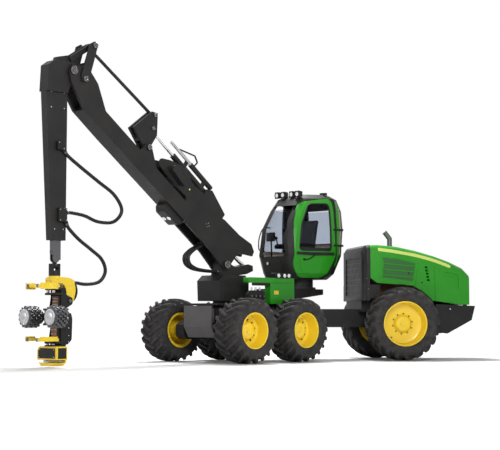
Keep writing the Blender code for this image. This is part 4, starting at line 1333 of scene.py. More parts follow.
class HARVESTER_OT_hood(bpy.types.Operator):
    """Stripe, grille and latches of the hood"""

    bl_idname = "harvester.hood"
    bl_label = "Hood trim"

    def execute(self, context):
        skin = Skin("hood_shell", REAR, 1.6)
        for name, side in SIDES:
            self.stripe(skin, name, side)
            # The grille's dark hole spots are painted shade, not cut holes
            grille = Work("grille")
            tops = [GRILLE_TOP, *BARS]
            lows = [[(x, z + BAR_HIGH) for x, z in bar] for bar in BARS] + [GRILLE_LOW]
            for top, low in zip(tops, lows):
                skin.lay(grille, band(top, low, 10, 2), 0.002, side)
            grille.finish("hood_grille_" + name, "hood", REAR, slot="green")
            latch = Work("black")
            for x, z in ((-2.30, 1.905), (-2.60, 1.70)):
                cap = [(0, 0), (0.020, 0), (0.020, 0.004), (0.014, 0.008), (0, 0.008)]
                latch.turned(cap, skin.beside(x, z, side), (0, side, 0), 20)
            latch.use("grey")
            knob = [(0, 0), (0.014, 0), (0.012, 0.006), (0, 0.007)]
            latch.turned(knob, skin.beside(-2.24, 1.885, side), (0, side, 0), 20)
            latch.finish("hood_latches_" + name, "hood", REAR, edge=0.001, slot="black")
        self.cowl()
        self.tail()
        self.pipe(skin)
        return {"FINISHED"}

    def stripe(self, skin, name, side):
        rows = [[], [], []]
        for share in sorted({share for share, _ in STRIPE_ENDS} | {i / 24 for i in range(1, 24)}):
            for (s0, w0), (s1, w1) in zip(STRIPE_ENDS, STRIPE_ENDS[1:]):
                if s0 <= share <= s1:
                    wide = w0 + (w1 - w0) * (share - s0) / (s1 - s0)
            spot = along(STRIPE, share)
            for row, up in zip(rows, (1, 0, -1)):
                row.append((spot.x, spot.y + up * STRIPE_HALF * wide))
        work = Work("stripe")
        skin.lay(work, rows, 0.004, side)
        work.finish("hood_stripe_" + name, "hood", REAR, edge=0.0015, slot="grey")

    def cowl(self):
        """Bolts of the cowl and the radiator's core behind its slats."""
        skin = Skin("radiator_cowl", REAR, 1.6)
        work = Work("grey")
        for x, z in ((-1.350, 1.783), (-1.385, 1.56)):
            for _, side in SIDES:
                spot = skin.beside(x, z, side)
                work.rod(spot, spot + Vector((0, side * 0.012, 0)), 0.016, 6)
        work.finish("cowl_bolts", "rear_half", REAR, edge=0.002, slot="charcoal")
        # The core's dark hole spots are painted shade from the grille finish
        core = Work("grille")
        core.block(-1.3215, -1.3185, -0.60, 0.60, 1.44, 2.22)
        core.finish("cowl_core", "rear_half", REAR, slot="black")

    def tail(self):
        """Bolts of the tail plate and of its two sides, and the tail lamps."""
        skin = Skin("rear_frame", REAR, 1.8)
        bolt = Work("steel")
        for y in (-0.75, -0.45, 0.45, 0.75):
            for z in (0.93, 1.12):
                spot = skin.at((-5.0, y, z), (1, 0, 0))
                bolt.rod(spot, spot - Vector((0.014, 0, 0)), 0.018, 6)
        for _, side in SIDES:
            spot = skin.beside(-3.26, 1.122, side)
            bolt.rod(spot, spot + Vector((0, side * 0.012, 0)), 0.016, 6)
        lamps = Work()
        for finish, back, front, wide, low, high in (
            ("black", -0.028, 0.004, 0.09, 0.985, 1.075),
            ("amber", -0.034, -0.026, 0.08, 0.995, 1.065),
        ):
            lamps.use(finish)
            for y in (0.62, -0.62):
                x = skin.at((-5.0, y, 1.03), (1, 0, 0)).x
                lamps.block(x + back, x + front, y - wide, y + wide, low, high)
        bolt.finish("tail_bolts", "rear_half", REAR, edge=0.0015, slot="charcoal")
        lamps.finish("tail_lamps", "rear_half", REAR, edge=0.003, slot="charcoal")

    def pipe(self, skin):
        """Collar where the pipe comes through the hood."""
        x, y = -2.02, 0.42
        low = min(skin.at((x + reach, y, 3.5), (0, 0, -1)).z for reach in (0.10, -0.10))
        work = Work("dark_steel")
        ring = [
            (0.059, -0.005), (0.10, -0.005), (0.10, 0.012), (0.082, 0.018), (0.066, 0.050), (0.059, 0.050)
        ]
        work.turned(ring, (x, y, low), (0, 0, 1), 32)
        work.finish("pipe_collar", "hood", REAR, edge=0.002, slot="steel")


# Cab


class HARVESTER_OT_cab(bpy.types.Operator):
    """Seals, trim, lamps, rails and the inside of the cab"""

    bl_idname = "harvester.cab"
    bl_label = "Cab trim"

    def execute(self, context):
        self.door()
        self.posts()
        self.lamps()
        self.rails()
        self.inside()
        return {"FINISHED"}

    def door(self):
        """Seal of the pane, the band below it, handle, hinges and the sunk panel's edge."""
        skin = Skin("door_leaf")
        pane = Skin("door_pane")
        seal = Work("black")
        line = dense_line(scaled(DOOR_GLASS, 0.985, (-1.86, 2.92)), 0.05)
        seal.tube([pane.beside(x, z) + Vector((0, 0.006, 0)) for x, z in line], 0.017, 8, loop=True)
        top = [(-1.46, 2.475), (-1.80, 2.46), (-2.24, 2.465)]
        low = [(-1.50, 2.41), (-1.80, 2.402), (-2.21, 2.41)]
        pane.lay(seal, band(top, low, 10, 1), 0.006, sunk=0.001)
        seal.finish("door_seal", "cab_door", smooth=50, slot="black")
        trim = Work("plastic")
        top = [(-1.36, 2.37), (-1.80, 2.36), (-2.345, 2.37)]
        low = [(-1.355, 2.30), (-1.80, 2.285), (-2.35, 2.30)]
        skin.lay(trim, band(top, low, 14, 1), 0.006)
        path = [(-1.52, 2.205), (-1.60, 2.19), (-1.70, 2.225), (-1.78, 2.29), (-1.87, 2.34)]
        line = dense_line(path, 0.03, loop=False)
        trim.tube([skin.beside(x, z) + Vector((0, 0.022, 0)) for x, z in line], 0.013, 10)
        for x, z in ((-1.55, 2.20), (-1.86, 2.34)):
            spot = skin.beside(x, z)
            trim.rod(spot - Vector((0, 0.004, 0)), spot + Vector((0, 0.030, 0)), 0.024, 20)
        for z in (2.50, 2.85):
            trim.rod((-2.57, 0.81, z), (-2.57, 0.81, z + 0.047), 0.022, 20)
            trim.prism([(-2.57, 0.785), (-2.57, 0.812), (-2.33, 0.797), (-2.33, 0.76)], z, z + 0.047, "XY")
        trim.finish("door_trim", "cab_door", edge=0.002, smooth=45, slot="black")
        panel = Work("green")
        top = [(-1.42, 2.25), (-1.80, 2.235), (-2.06, 2.24)]
        low = [(-1.52, 1.95), (-1.80, 1.86), (-2.04, 1.89)]
        skin.lay(panel, band(top, low, 12, 6), 0.007)
        panel.finish("door_panel", "cab_door", edge=0.004, smooth=50, slot="green")

    def posts(self):
        """Green and beige strips of the rear posts."""
        skin = Skin("cab_body")
        green = [(-2.44, 3.50), (-2.445, 2.90), (-2.44, 2.30), (-2.40, 2.06)]
        beige = [(-2.555, 3.35), (-2.565, 2.80), (-2.555, 2.32)]
        for name, side in SIDES:
            work = Work()
            for finish, path, across, thick in (
                ("green", green, (0.025, -0.02, -0.065), 0.010),
                ("beige", beige, (0.012, -0.028), 0.006),
            ):
                work.use(finish)
                line = dense_line(path, 0.12, loop=False)
                skin.lay(work, [[(x + dx, z) for dx in across] for x, z in line], thick, side)
            work.finish("post_trim_" + name, "cab", edge=0.002, smooth=50, slot="green")

    def lamps(self):
        """Lenses of the roof's working lamps."""
        lens = Work("lens")
        rims = Work("plastic")
        glass = [(0, 0), (0.050, 0), (0.050, 0.003), (0.030, 0.010), (0, 0.012)]
        rim = [(0.050, 0), (0.062, 0), (0.062, 0.012), (0.053, 0.014), (0.050, 0.010)]
        for x, y, ahead in ROOF_LAMPS:
            for work, profile in ((lens, glass), (rims, rim)):
                work.turned(profile, (x + ahead * 0.04, y, 3.655), (ahead, 0, 0), 28)
        lens.finish("roof_lenses", "cab", edge=0.001, slot="grey")
        rims.finish("roof_lamp_rims", "cab", edge=0.001, slot="black")

    def rails(self):
        """Hand rail of the front corner and the nose's lamp."""
        spot = Skin("cab_body").at((-0.6, -0.10, 2.116), (-1, 0, 0))
        lean = (1, 0, -0.1)
        rail = [
            (-1.47, -0.46, 2.93),
            (-1.37, -0.50, 2.90),
            (-1.23, -0.47, 2.68),
            (-1.20, -0.45, 2.45),
            (-1.26, -0.42, 2.40),
        ]
        work = Work("plastic")
        work.tube(smooth_route(rail, 0.03), 0.013, 12)
        work.rod(rail[0], (-1.52, -0.40, 2.93), 0.016, 12)
        work.rod(rail[-1], (-1.32, -0.38, 2.40), 0.016, 12)
        work.turned(
            [(0, -0.004), (0.045, -0.004), (0.045, 0.012), (0.036, 0.018), (0, 0.018)], spot, lean, 28
        )
        work.finish("cab_rail", "cab", smooth=45, slot="black")
        lamp = Work("lens")
        lamp.turned([(0, 0.016), (0.033, 0.016), (0.030, 0.022), (0, 0.024)], spot, lean, 28)
        lamp.finish("nose_lamp", "cab", edge=0.001, slot="grey")

    def inside(self):
        """Floor, beige trim, screen, levers and armrest pads."""
        work = Work("plastic")
        work.prism(
            rounded([(-1.45, -0.30), (-1.45, 0.30), (-2.45, 0.42), (-2.45, -0.42)], 0.1), 1.826, 1.86, "XY"
        )
        rest = rounded([(-2.12, 2.46), (-1.62, 2.46), (-1.60, 2.52), (-1.66, 2.57), (-2.14, 2.57)], 0.03)
        grip = [(0, 0), (0.026, 0.01), (0.032, 0.04), (0.026, 0.07), (0, 0.08)]
        for _, side in SIDES:
            work.prism(rest, side * 0.27, side * 0.37)
            work.rod((-1.66, side * 0.32, 2.56), (-1.63, side * 0.32, 2.68), 0.014, 14)
            work.turned(grip, (-1.635, side * 0.32, 2.66), (0.2, 0, 1), 16)
        work.rod((-1.50, -0.33, 1.86), (-1.47, -0.33, 2.70), 0.018, 14)
        work.prism(
            rounded([(-0.46, 2.62), (-0.20, 2.62), (-0.20, 2.82), (-0.46, 2.82)], 0.02), -1.475, -1.44, "YZ"
        )
        work.finish("cab_inside", "cab", edge=0.006, slot="black")
        liner = Work("beige")
        liner.prism(rounded([(-1.42, 2.27), (-2.30, 2.27), (-2.30, 2.40), (-1.44, 2.40)], 0.03), -0.53, -0.50)
        liner.block(-2.60, -2.56, -0.44, 0.44, 2.20, 2.56)
        liner.finish("cab_liner", "cab", edge=0.008, slot="grey")


# Crane

LAMP_BASE = (1.58, 2.90)
LAMP_TURN = math.atan2(1.56, 2.04)
HOSE_GUARD = [
    (1.10, 3.10),
    (1.80, 3.60),
    (2.28, 4.02),
    (2.22, 4.15),
    (1.92, 4.12),
    (1.52, 3.98),
    (1.34, 3.68),
    (1.02, 3.50),
]
JIB_BASE = (0.83, 3.50)
JIB_TURN = math.atan2(4.74 - 3.50, 2.38 - 0.83)
# place, radius of the head, half width over the plates, body
PINS = (
    ((0.42, 2.04), 0.085, 0.235, "crane_column"),
    ((0.95, 2.85), 0.060, 0.172, "boom"),
    ((4.45, 5.64), 0.085, 0.205, "boom"),
    ((4.20, 5.50), 0.060, 0.245, "boom"),
    ((2.55, 4.33), 0.060, 0.205, "boom"),
    ((2.32, 5.01), 0.045, 0.110, "mid_rocker"),
    ((2.38, 4.74), 0.040, 0.110, "mid_rocker"),
    ((3.97, 6.18), 0.060, 0.245, "knee_lever"),
)


class HARVESTER_OT_crane(bpy.types.Operator):
    """Lamp box, guards, pins, glands and guide tube of the crane"""

    bl_idname = "harvester.crane"
    bl_label = "Crane trim"

    def execute(self, context):
        for number, pin in enumerate(PINS):
            self.pin(number, *pin)
        self.boom()
        self.jib()
        self.glands()
        return {"FINISHED"}

    def pin(self, number, spot, radius, half, body):
        """A pin's heads on both sides, each with four bolts."""
        x, z = spot
        head = [(0, 0), (radius, 0), (radius, 0.012), (radius - 0.006, 0.018)]
        head += [(radius * 0.5, 0.018), (radius * 0.4, 0.012), (0, 0.012)]
        work = Work("dark_steel")
        bolts = Work("steel")
        for _, side in SIDES:
            work.turned(head, (x, side * (half - 0.004), z), (0, side, 0), 32)
            for bx, bz in on_circle(spot, radius * 0.72, 4, 0.5):
                foot = Vector((bx, side * (half + 0.012), bz))
                bolts.rod(foot, foot + Vector((0, side * 0.010, 0)), 0.009, 6)
        label = body + "_pin_" + str(number)
        work.finish(label, body, edge=0.0015, slot="steel")
        bolts.finish(label + "_bolts", body, edge=0.001, slot="steel")

    def boom(self):
        work = Work("charcoal")
        box = [(0, 0.03), (0.58, 0.03), (0.60, -0.08), (0.52, -0.17), (0.10, -0.17), (0, -0.08)]
        work.prism(rounded([tilted(LAMP_BASE, LAMP_TURN, a, b) for a, b in box], 0.03), -0.13, 0.13)
        trim = Work("stripe")
        seams = Work("charcoal")
        for _, side in SIDES:
            work.prism(rounded(HOSE_GUARD, 0.06), side * 0.13, side * 0.158)
            trim.rod((1.433, side * 0.1575, 3.56), (1.433, side * 0.161, 3.56), 0.018, 20)
            points = [(2.9, side * 0.1505, 4.02), (3.2, side * 0.1505, 4.27), (3.5, side * 0.1505, 4.52)]
            seams.tube(smooth_route(points, 0.02), 0.006, 6)
        shield = [(1.62, 3.62), (1.72, 3.62), (2.02, 3.92), (1.96, 4.02), (1.86, 3.98)]
        work.prism(rounded(shield, 0.03), -0.3, 0.3)
        work.finish("boom_box", "boom", edge=0.006, slot="charcoal")
        trim.finish("boom_dots", "boom", edge=0.001, slot="grey")
        seams.finish("boom_seams", "boom", smooth=60, slot="charcoal")
        lens = Work("lens")
        x, z = tilted(LAMP_BASE, LAMP_TURN, 0.30, -0.17)
        down = (math.sin(LAMP_TURN), 0, -math.cos(LAMP_TURN))
        for y in (-0.07, 0.07):
            lens.turned(
                [(0, -0.004), (0.048, -0.004), (0.048, 0.006), (0.030, 0.012), (0, 0.013)],
                (x, y, z),
                down,
                28,
            )
        lens.finish("boom_lenses", "boom", edge=0.001, slot="grey")

    def jib(self):
        """Guide tube with its bar, two brackets and a bent rod, all along the cylinder."""

        def at(along, up):
            x, z = tilted(JIB_BASE, JIB_TURN, along, up)
            return (x, 0, z)

        work = Work("charcoal")
        work.rod(at(-0.02, 0.19), at(0.72, 0.19), 0.055, 28)
        for start, end, top, half in ((0.163, 0.243, 0.20, 0.027), (0.783, 0.863, 0.199, 0.023)):
            outline = [(start, 0.05), (end, 0.05), (end, top), (start, top)]
            work.prism([tilted(JIB_BASE, JIB_TURN, a, b) for a, b in outline], -half, half)
        bend = [(0.62, 0.22), (1.16, 0.22), (0.74, 0.42), (0.60, 0.36)]
        for a, b in zip(bend, bend[1:] + bend[:1]):
            work.tube([at(*a), at(*b)], 0.018, 8)
        work.use("steel")
        work.rod(at(0.71, 0.193), at(1.40, 0.193), 0.035, 24)
        work.finish("jib_guide", "jib_barrel", edge=0.002, slot="charcoal")

    def glands(self):
        clamps = Work("black")
        clamps.block(4.62, 4.78, 0.072, 0.158, 4.10, 4.26)
        clamps.block(4.55, 4.74, 0.072, 0.158, 2.74, 3.00)
        for gland in (STICK_TOP, STICK_BACK, STICK_DOWN):
            clamps.rod(leave(*gland, -0.08), leave(*gland, 0.02), 0.044, 20)
        clamps.finish("stick_glands", "stick", edge=0.005, slot="charcoal")
        bolts = Work("steel")
        for x, z in (
            (4.645, 4.125), (4.755, 4.235), (4.575, 2.77), (4.715, 2.97), (4.715, 2.77), (4.575, 2.97)
        ):
            bolts.rod((x, 0.157, z), (x, 0.170, z), 0.011, 6)
        for z, back in ((5.20, 4.90), (4.90, 4.90), (2.60, 4.80)):
            for x in (4.60, back):
                bolts.rod((x, 0.083, z), (x, 0.098, z), 0.013, 6)
        bolts.finish("stick_bolts", "stick", edge=0.001, slot="steel")
        foot = Work("dark_steel")
        for y in sorted(FOOT_Y.values()):
            foot.rod((0.44, y, 1.90), (0.575, y, 1.90), 0.042, 20)
        foot.finish("foot_glands", "crane_column", edge=0.003, slot="charcoal")


# Head

HEAD_PIN = (4.47, 0, 1.25)
YOKE_X = 4.72
KNIFE_PIN = (4.80, 0.09)
KNIVES = [
    (place + "_" + name, side, low, high)
    for place, low, high in (("upper_knife", 1.5003, 1.55), ("lower_knife", 0.4973, 0.55))
    for name, side in SIDES
]
KNIFE_SPINE = [
    (*KNIFE_PIN, 0), (4.835, 0.20, 0), (4.90, 0.30, 0), (5.02, 0.335, 0), (5.14, 0.27, 0), (5.215, 0.155, 0)
]
DRUM = (0.40, 0.95)
TEETH = 14
TOOTH = (0.178, 0.178, 0.208, 0.208)


class HARVESTER_OT_head(bpy.types.Operator):
    """Yoke, frame, knives, feed rollers and saw box of the head"""

    bl_idname = "harvester.head"
    bl_label = "Head"

    def execute(self, context):
        self.yoke()
        self.frame()
        self.pipes()
        for values in KNIVES:
            self.knife(*values)
        for name, side in SIDES:
            self.roller(name, side * DRUM[0], DRUM[1])
        self.saw()
        return {"FINISHED"}

    def yoke(self):
        arch = [(4.86, 1.70), (4.50, 1.70), (4.34, 1.66), (4.28, 1.46), (4.36, 1.185)]
        arch += [(4.55, 1.185), (4.50, 1.44), (4.58, 1.58), (4.86, 1.585)]
        work = Work("yellow")
        work.prism(rounded(arch, 0.10, 6), -0.10, 0.10)
        work.rod((YOKE_X, 0, 1.65), (YOKE_X, 0, 1.7197), 0.11, 36)
        for _, side in SIDES:
            work.turned(
                [(0, -0.02), (0.075, -0.02), (0.075, 0.1047), (0, 0.1047)], HEAD_PIN, (0, side, 0), 32
            )
        work.use("dark_steel")
        work.rod((4.47, -0.175, 1.25), (4.47, 0.175, 1.25), 0.035, 24)
        for x, y in on_circle((YOKE_X, 0), 0.09, 8, 0.2):
            work.rod((x, y, 1.70), (x, y, 1.7185), 0.010, 6)
        work.finish("yoke_arch", "head_yoke", edge=0.008, stands_for=("head_yoke",), slot="yellow")
        lines = Work("hose")
        across = (-0.055, -0.02, 0.02, 0.055)
        for y in across:
            points = [(4.31, y, 1.62), (4.25, y, 1.55), (4.225, y, 1.44), (4.25, y, 1.33), (4.315, y, 1.25)]
            lines.tube(smooth_route(points, 0.02), 0.011, 10)
        lines.use("steel")
        for y in across:
            lines.rod((4.335, y, 1.648), (4.285, y, 1.605), 0.014, 6)
        lines.finish("yoke_pipes", "head_yoke", smooth=50, slot="black")

    def frame(self):
        """Spine, plates, cheeks, roller brackets, cover, valve blocks, bolts and the knives' pins."""
        work = Work("black")
        work.prism(
            rounded([(4.56, 0.40), (4.68, 0.40), (4.68, 1.47), (4.60, 1.4997), (4.56, 1.42)], 0.02),
            -0.17,
            0.17,
        )
        plate = [(4.58, -0.18), (4.80, -0.18), (4.86, -0.11), (4.86, 0.11), (4.80, 0.18), (4.58, 0.18)]
        for low, high in ((1.455, 1.4997), (1.36, 1.40), (0.45, 0.497), (0.40, 0.425)):
            work.prism(rounded(plate, 0.03), low, high, "XY")
        cheek = [(4.40, 1.19), (4.46, 1.16), (4.60, 1.08), (4.60, 1.40), (4.50, 1.345), (4.40, 1.31)]
        arm = [(4.58, 0.10), (4.60, 0.30), (4.66, 0.335), (4.75, 0.32), (4.765, 0.24), (4.70, 0.10)]
        for _, side in SIDES:
            work.prism(rounded(cheek, 0.04), side * 0.106, side * 0.15)
            for z in (0.79, 1.07):
                work.prism(rounded([(x, side * y) for x, y in arm], 0.03), z, z + 0.04, "XY")
            for z0, z1 in ((0.57, 0.79), (1.11, 1.36)):
                work.prism([(4.66, z0), (4.74, z0), (4.70, z1), (4.66, z1)], side * 0.115, side * 0.135)
        cover = [(4.42, 0.52), (4.50, 0.44), (4.57, 0.44), (4.57, 1.02), (4.44, 1.02), (4.41, 0.92)]
        work.prism(rounded(cover, 0.03), -0.16, 0.16)
        for z in (0.56, 0.64, 0.72, 0.80, 0.88):
            work.prism([(4.415, z), (4.402, z + 0.01), (4.402, z + 0.03), (4.415, z + 0.04)], -0.13, 0.13)
        work.use("brown")
        work.block(4.565, 4.69, -0.10, 0.10, 1.14, 1.34)
        work.block(4.66, 4.72, -0.09, 0.09, 0.50, 0.76)
        work.use("steel")
        for y in (-0.07, -0.025, 0.02, 0.065):
            for z in (1.18, 1.24, 1.30):
                work.rod((4.688, y, z), (4.705, y, z), 0.012, 6)
            for z in (0.55, 0.63, 0.71):
                work.rod((4.718, y, z), (4.733, y, z), 0.011, 6)
        cap = [(0, 0), (0.034, 0), (0.034, 0.014), (0.026, 0.020), (0, 0.020)]
        for _, side in SIDES:
            for z in (0.48, 0.60, 0.74, 0.94):
                work.rod((4.50, side * 0.158, z), (4.50, side * 0.170, z), 0.012, 6)
            x, y = KNIFE_PIN[0], side * KNIFE_PIN[1]
            for z, high in ((0.425, 0.025), (1.40, 0.055)):
                work.rod((x, y, z), (x, y, z + high), 0.030, 20)
            for z in (1.5503, 0.5503):
                work.turned(cap, (x, y, z), (0, 0, 1), 24)
        work.finish("head_body", "head", edge=0.005, stands_for=("head_frame",), slot="charcoal")

    def pipes(self):
        work = Work("hose")
        for y, z in ((0.06, 0.98), (0.02, 0.94), (-0.03, 0.98), (-0.07, 0.94)):
            points = [(4.57, y, 1.07), (4.50, y, 1.055), (4.41, y * 1.2, z), (4.385, y * 1.6, z - 0.2)]
            points += [(4.42, y * 2.0, 0.56), (4.50, y * 1.8, 0.43)]
            work.tube(smooth_route(points, 0.02), 0.012, 10)
        work.finish("head_pipes", "head", smooth=50, slot="black")

    def knife(self, name, side, low, high):
        """A curved arm that tapers to its knuckled tip, ribbed above and, on an upper knife, below."""
        spine = smooth_route(KNIFE_SPINE, 0.02)
        last = len(spine) - 1
        outer, inner = [], []
        for i, point in enumerate(spine):
            share = i / last
            ahead = (spine[min(i + 1, last)] - spine[max(i - 1, 0)]).normalized()
            out = Vector((-ahead.y, ahead.x, 0))
            wide = 0.050 + 0.012 * math.sin(share * math.pi) - 0.034 * share**2
            outer.append(point + out * wide)
            inner.append(point - out * wide)
        work = Work("yellow")
        work.prism([(p.x, side * p.y) for p in outer + inner[::-1]], low, high, "XY")
        stretch = slice(13, -3)
        low_edge = [p * 0.3 + q * 0.7 for p, q in zip(inner, outer)]
        rib = [(p.x, side * p.y) for p in outer[stretch] + low_edge[stretch][::-1]]
        work.prism(rib, high - 0.002, high + 0.035, "XY")
        if name.startswith("upper"):
            work.prism(rib, low - 0.035, low + 0.002, "XY")
        work.use("dark_steel")
        tip = spine[-1]
        work.rod((tip.x, side * tip.y, low - 0.004), (tip.x, side * tip.y, high + 0.010), 0.024, 20)
        for share in (0.42, 0.72):
            spot = spine[int(len(spine) * share)]
            work.rod((spot.x, side * spot.y, high - 0.002), (spot.x, side * spot.y, high + 0.012), 0.016, 16)
        work.finish(name + "_arm", name, edge=0.005, stands_for=(name,), slot="yellow")

    def roller(self, name, y, z):
        """A drum whose rings of teeth stand one behind the other, and its motor."""
        work = Work("dark_steel")
        work.rod((4.8303, y, z), (5.115, y, z), 0.172, 48)
        for ring in range(5):
            x = 4.835 + ring * 0.055
            star = []
            for k in range(TEETH * 4):
                a = 2 * math.pi * (k + (ring % 2) * 2) / (TEETH * 4)
                star.append((y + TOOTH[k % 4] * math.cos(a), z + TOOTH[k % 4] * math.sin(a)))
            work.prism(star, x, x + 0.046, "YZ")
        work.use("steel")
        end = [(0, 0), (0.150, 0), (0.150, 0.010), (0.118, 0.016), (0.080, 0.010), (0.055, 0.022), (0, 0.022)]
        work.turned(end, (5.113, y, z), (1, 0, 0), 40)
        work.use("chrome")
        for by, bz in on_circle((y, z), 0.132, 8):
            work.rod((5.12, by, bz), (5.134, by, bz), 0.012, 6)
        roller = "feed_roller_" + name
        work.finish("drum_" + name, roller, edge=0.003, stands_for=(roller,), slot="steel")
        motor = Work("black")
        motor.rod((4.74, y, z), (4.826, y, z), 0.125, 36)
        motor.use("dark_steel")
        for by, bz in on_circle((y, z), 0.10, 6):
            motor.rod((4.727, by, bz), (4.741, by, bz), 0.012, 6)
        motor.finish("drum_motor_" + name, "roller_arm_" + name, edge=0.006, slot="charcoal")

    def saw(self):
        work = Work("yellow")
        box = [(-0.36, 0.145), (0.24, 0.145), (0.24, 0.3997), (-0.30, 0.3997), (-0.36, 0.34)]
        foot = [(-0.32, 0.095), (0.20, 0.095), (0.12, 0.03), (-0.24, 0.03)]
        back = [(-0.33, 0.09), (0.21, 0.09), (0.21, 0.20), (-0.33, 0.20)]
        window = [(-0.32, 0.175), (0.20, 0.175), (0.20, 0.365), (-0.27, 0.365), (-0.32, 0.32)]
        work.prism(rounded(box, 0.02), 4.58, 4.84, "YZ")
        work.prism(rounded(foot, 0.015), 4.58, 4.84, "YZ")
        work.prism(rounded(back, 0.015), 4.58, 4.615, "YZ")
        work.use("black")
        work.prism(rounded(window, 0.02), 4.838, 4.846, "YZ")
        work.prism([(4.61, 0.17), (4.80, 0.17), (4.80, 0.37), (4.61, 0.37)], 0.238, 0.246)
        work.use("steel")
        for y, z in ((-0.29, 0.20), (0.17, 0.20), (0.17, 0.34), (-0.26, 0.34)):
            work.rod((4.845, y, z), (4.855, y, z), 0.010, 6)
        work.finish("saw_housing", "head", edge=0.005, stands_for=("saw_box",), slot="yellow")


# Front half


class HARVESTER_OT_front(bpy.types.Operator):
    """Tool box with lamps, its blank label and the valves of the front half"""

    bl_idname = "harvester.front"
    bl_label = "Front half trim"

    def execute(self, context):
        work = Work("green")
        work.prism(rounded([(-1.04, 1.22), (-0.31, 1.22), (-0.31, 1.67), (-1.04, 1.67)], 0.03), 0.61, 0.775)
        work.prism(rounded([(-1.04, 1.66), (0.33, 1.66), (0.33, 1.77), (-1.04, 1.77)], 0.03), 0.61, 0.775)
        work.use("yellow")
        work.block(-0.56, -0.42, 0.774, 0.7765, 1.42, 1.50)
        work.use("black")
        work.prism(
            rounded([(-0.93, 1.765), (-0.44, 1.765), (-0.44, 1.875), (-0.93, 1.875)], 0.03), 0.66, 0.80
        )
        work.block(-0.31, 0.20, 0.73, 0.758, 1.60, 1.665)
        work.use("lens")
        for x in (-0.85, -0.72, -0.54):
            work.turned(
                [(0, 0), (0.042, 0), (0.042, 0.004), (0.026, 0.010), (0, 0.011)],
                (x, 0.80, 1.82),
                (0, 1, 0),
                28,
            )
        work.finish("box_body", "front_half", edge=0.005, stands_for=("tool_box",), slot="green")
        valves = Work("black")
        body = [(-0.22, 1.2197), (0.27, 1.2197), (0.27, 1.42), (0.18, 1.50), (-0.14, 1.50), (-0.22, 1.42)]
        valves.prism(rounded(body, 0.02), 0.61, 0.72)
        valves.block(-0.95, 0.30, 0.60, 0.70, 1.16, 1.2195)
        valves.use("dark_steel")
        for x in (-0.14, -0.02, 0.10, 0.22):
            for z in (1.29, 1.38):
                valves.rod((x, 0.715, z), (x, 0.765, z), 0.026, 16)
        valves.use("steel")
        for x in (-0.10, 0.02, 0.14):
            valves.rod((x, 0.665, 1.49), (x, 0.665, 1.565), 0.020, 6)
        valves.finish("valves", "front_half", edge=0.003, slot="charcoal")
        return {"FINISHED"}


# Seat


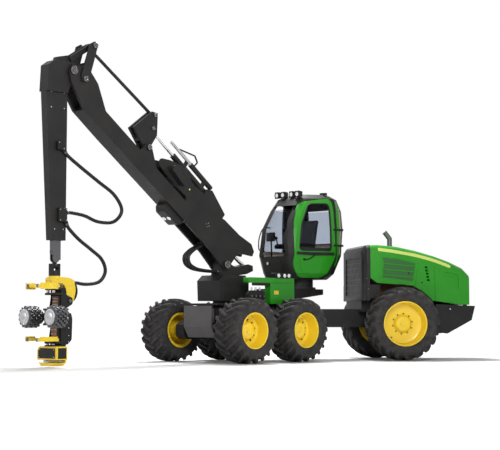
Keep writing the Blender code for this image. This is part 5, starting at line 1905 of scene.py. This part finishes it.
class HARVESTER_OT_seat(bpy.types.Operator):
    """Padded seat on its pedestal"""

    bl_idname = "harvester.seat"
    bl_label = "Seat"

    grain = 0.014
    fill = 0.8
    pressure = 4
    frames = 12
    swell_most = 0.015

    def execute(self, context):
        base = Work("plastic")
        post = [
            (0, 1.9003), (0.13, 1.9003), (0.10, 1.95), (0.07, 2.02), (0.07, 2.20), (0.11, 2.27), (0, 2.27)
        ]
        base.turned(post, (-2.05, 0, 0), (0, 0, 1), 32)
        for _, side in SIDES:
            arm = rounded([(-2.16, 2.36), (-2.05, 2.36), (-2.04, 2.50), (-2.15, 2.50)], 0.02)
            base.prism(arm, side * 0.262, side * 0.335)
        base.finish("seat_base", "cab", edge=0.005, stands_for=("seat",), slot="seat")
        cushion = [
            (-2.33, 2.285), (-1.78, 2.285), (-1.755, 2.33), (-1.79, 2.405), (-1.90, 2.40), (-2.30, 2.385)
        ]
        self.pad("seat_cushion", cushion, 0.245)
        back = [(-2.305, 2.37), (-2.21, 2.38), (-2.27, 2.75), (-2.365, 3.13), (-2.445, 3.11), (-2.38, 2.75)]
        self.pad("seat_back", back, 0.225)
        return {"FINISHED"}

    def pad(self, name, outline, half):
        """A rounded cushion, swollen by cloth pressure and smoothed."""
        work = Work("fabric")
        work.prism(rounded(outline, 0.03), -half, half)
        pad = put(name, work.poured(name, FRONT))
        self.bake(pad, "REMESH", mode="VOXEL", voxel_size=self.grain, use_smooth_shade=True)
        self.swell(pad)
        self.bake(pad, "SUBSURF", levels=1, render_levels=1)
        pad.data.materials.clear()
        pad.data.materials.append(FINISHES["fabric"])
        settle(pad, "cab", smooth=80, slot="seat")

    def bake(self, obj, kind, **values):
        modifier = obj.modifiers.new("step", kind)
        for key, value in values.items():
            setattr(modifier, key, value)
        mesh = made_mesh(obj)
        obj.modifiers.clear()
        obj.data = mesh

    def swell(self, pad):
        """Cloth pressure for a few frames, each point held near where it began."""
        start = [v.co.copy() for v in pad.data.vertices]
        cloth = pad.modifiers.new("cloth", "CLOTH")
        cloth.settings.use_pressure = True
        cloth.settings.uniform_pressure_force = self.pressure
        cloth.settings.effector_weights.gravity = 0
        scene = bpy.context.scene
        for number in range(1, self.frames + 1):
            scene.frame_set(number)
        mesh = made_mesh(pad)
        pad.modifiers.clear()
        pad.data = mesh
        for vertex, home in zip(mesh.vertices, start):
            move = vertex.co - home
            if move.length > self.swell_most:
                vertex.co = home + move.normalized() * self.swell_most
        scene.frame_set(1)


STEPS = (
    HARVESTER_OT_stage,
    HARVESTER_OT_hoses,
    HARVESTER_OT_seat,
    HARVESTER_OT_rigid,
    HARVESTER_OT_tyres,
    HARVESTER_OT_rims,
    HARVESTER_OT_housings,
    HARVESTER_OT_hood,
    HARVESTER_OT_cab,
    HARVESTER_OT_crane,
    HARVESTER_OT_head,
    HARVESTER_OT_front,
)


class HARVESTER_PT_panel(bpy.types.Panel):
    """Sizes, colours and the steps that make the looks"""

    bl_idname = "HARVESTER_PT_panel"
    bl_label = "Harvester"
    bl_space_type = "VIEW_3D"
    bl_region_type = "UI"
    bl_category = "Harvester"

    def draw(self, context):
        looks = context.scene.harvester
        for name in HarvesterLooks.__annotations__:
            self.layout.prop(looks, name)
        for step in STEPS:
            self.layout.operator(step.bl_idname)


CLASSES = (HarvesterLooks, *STEPS, HARVESTER_PT_panel)


def register():
    for cls in CLASSES:
        bpy.utils.register_class(cls)
    bpy.types.Scene.harvester = PointerProperty(type=HarvesterLooks)


def unregister():
    del bpy.types.Scene.harvester
    for cls in reversed(CLASSES):
        bpy.utils.unregister_class(cls)


def main():
    register()
    make_finishes(bpy.context.scene.harvester)
    for step in STEPS:
        group, name = step.bl_idname.split(".")
        getattr(getattr(bpy.ops, group), name)()


if __name__ == "__main__":
    main()
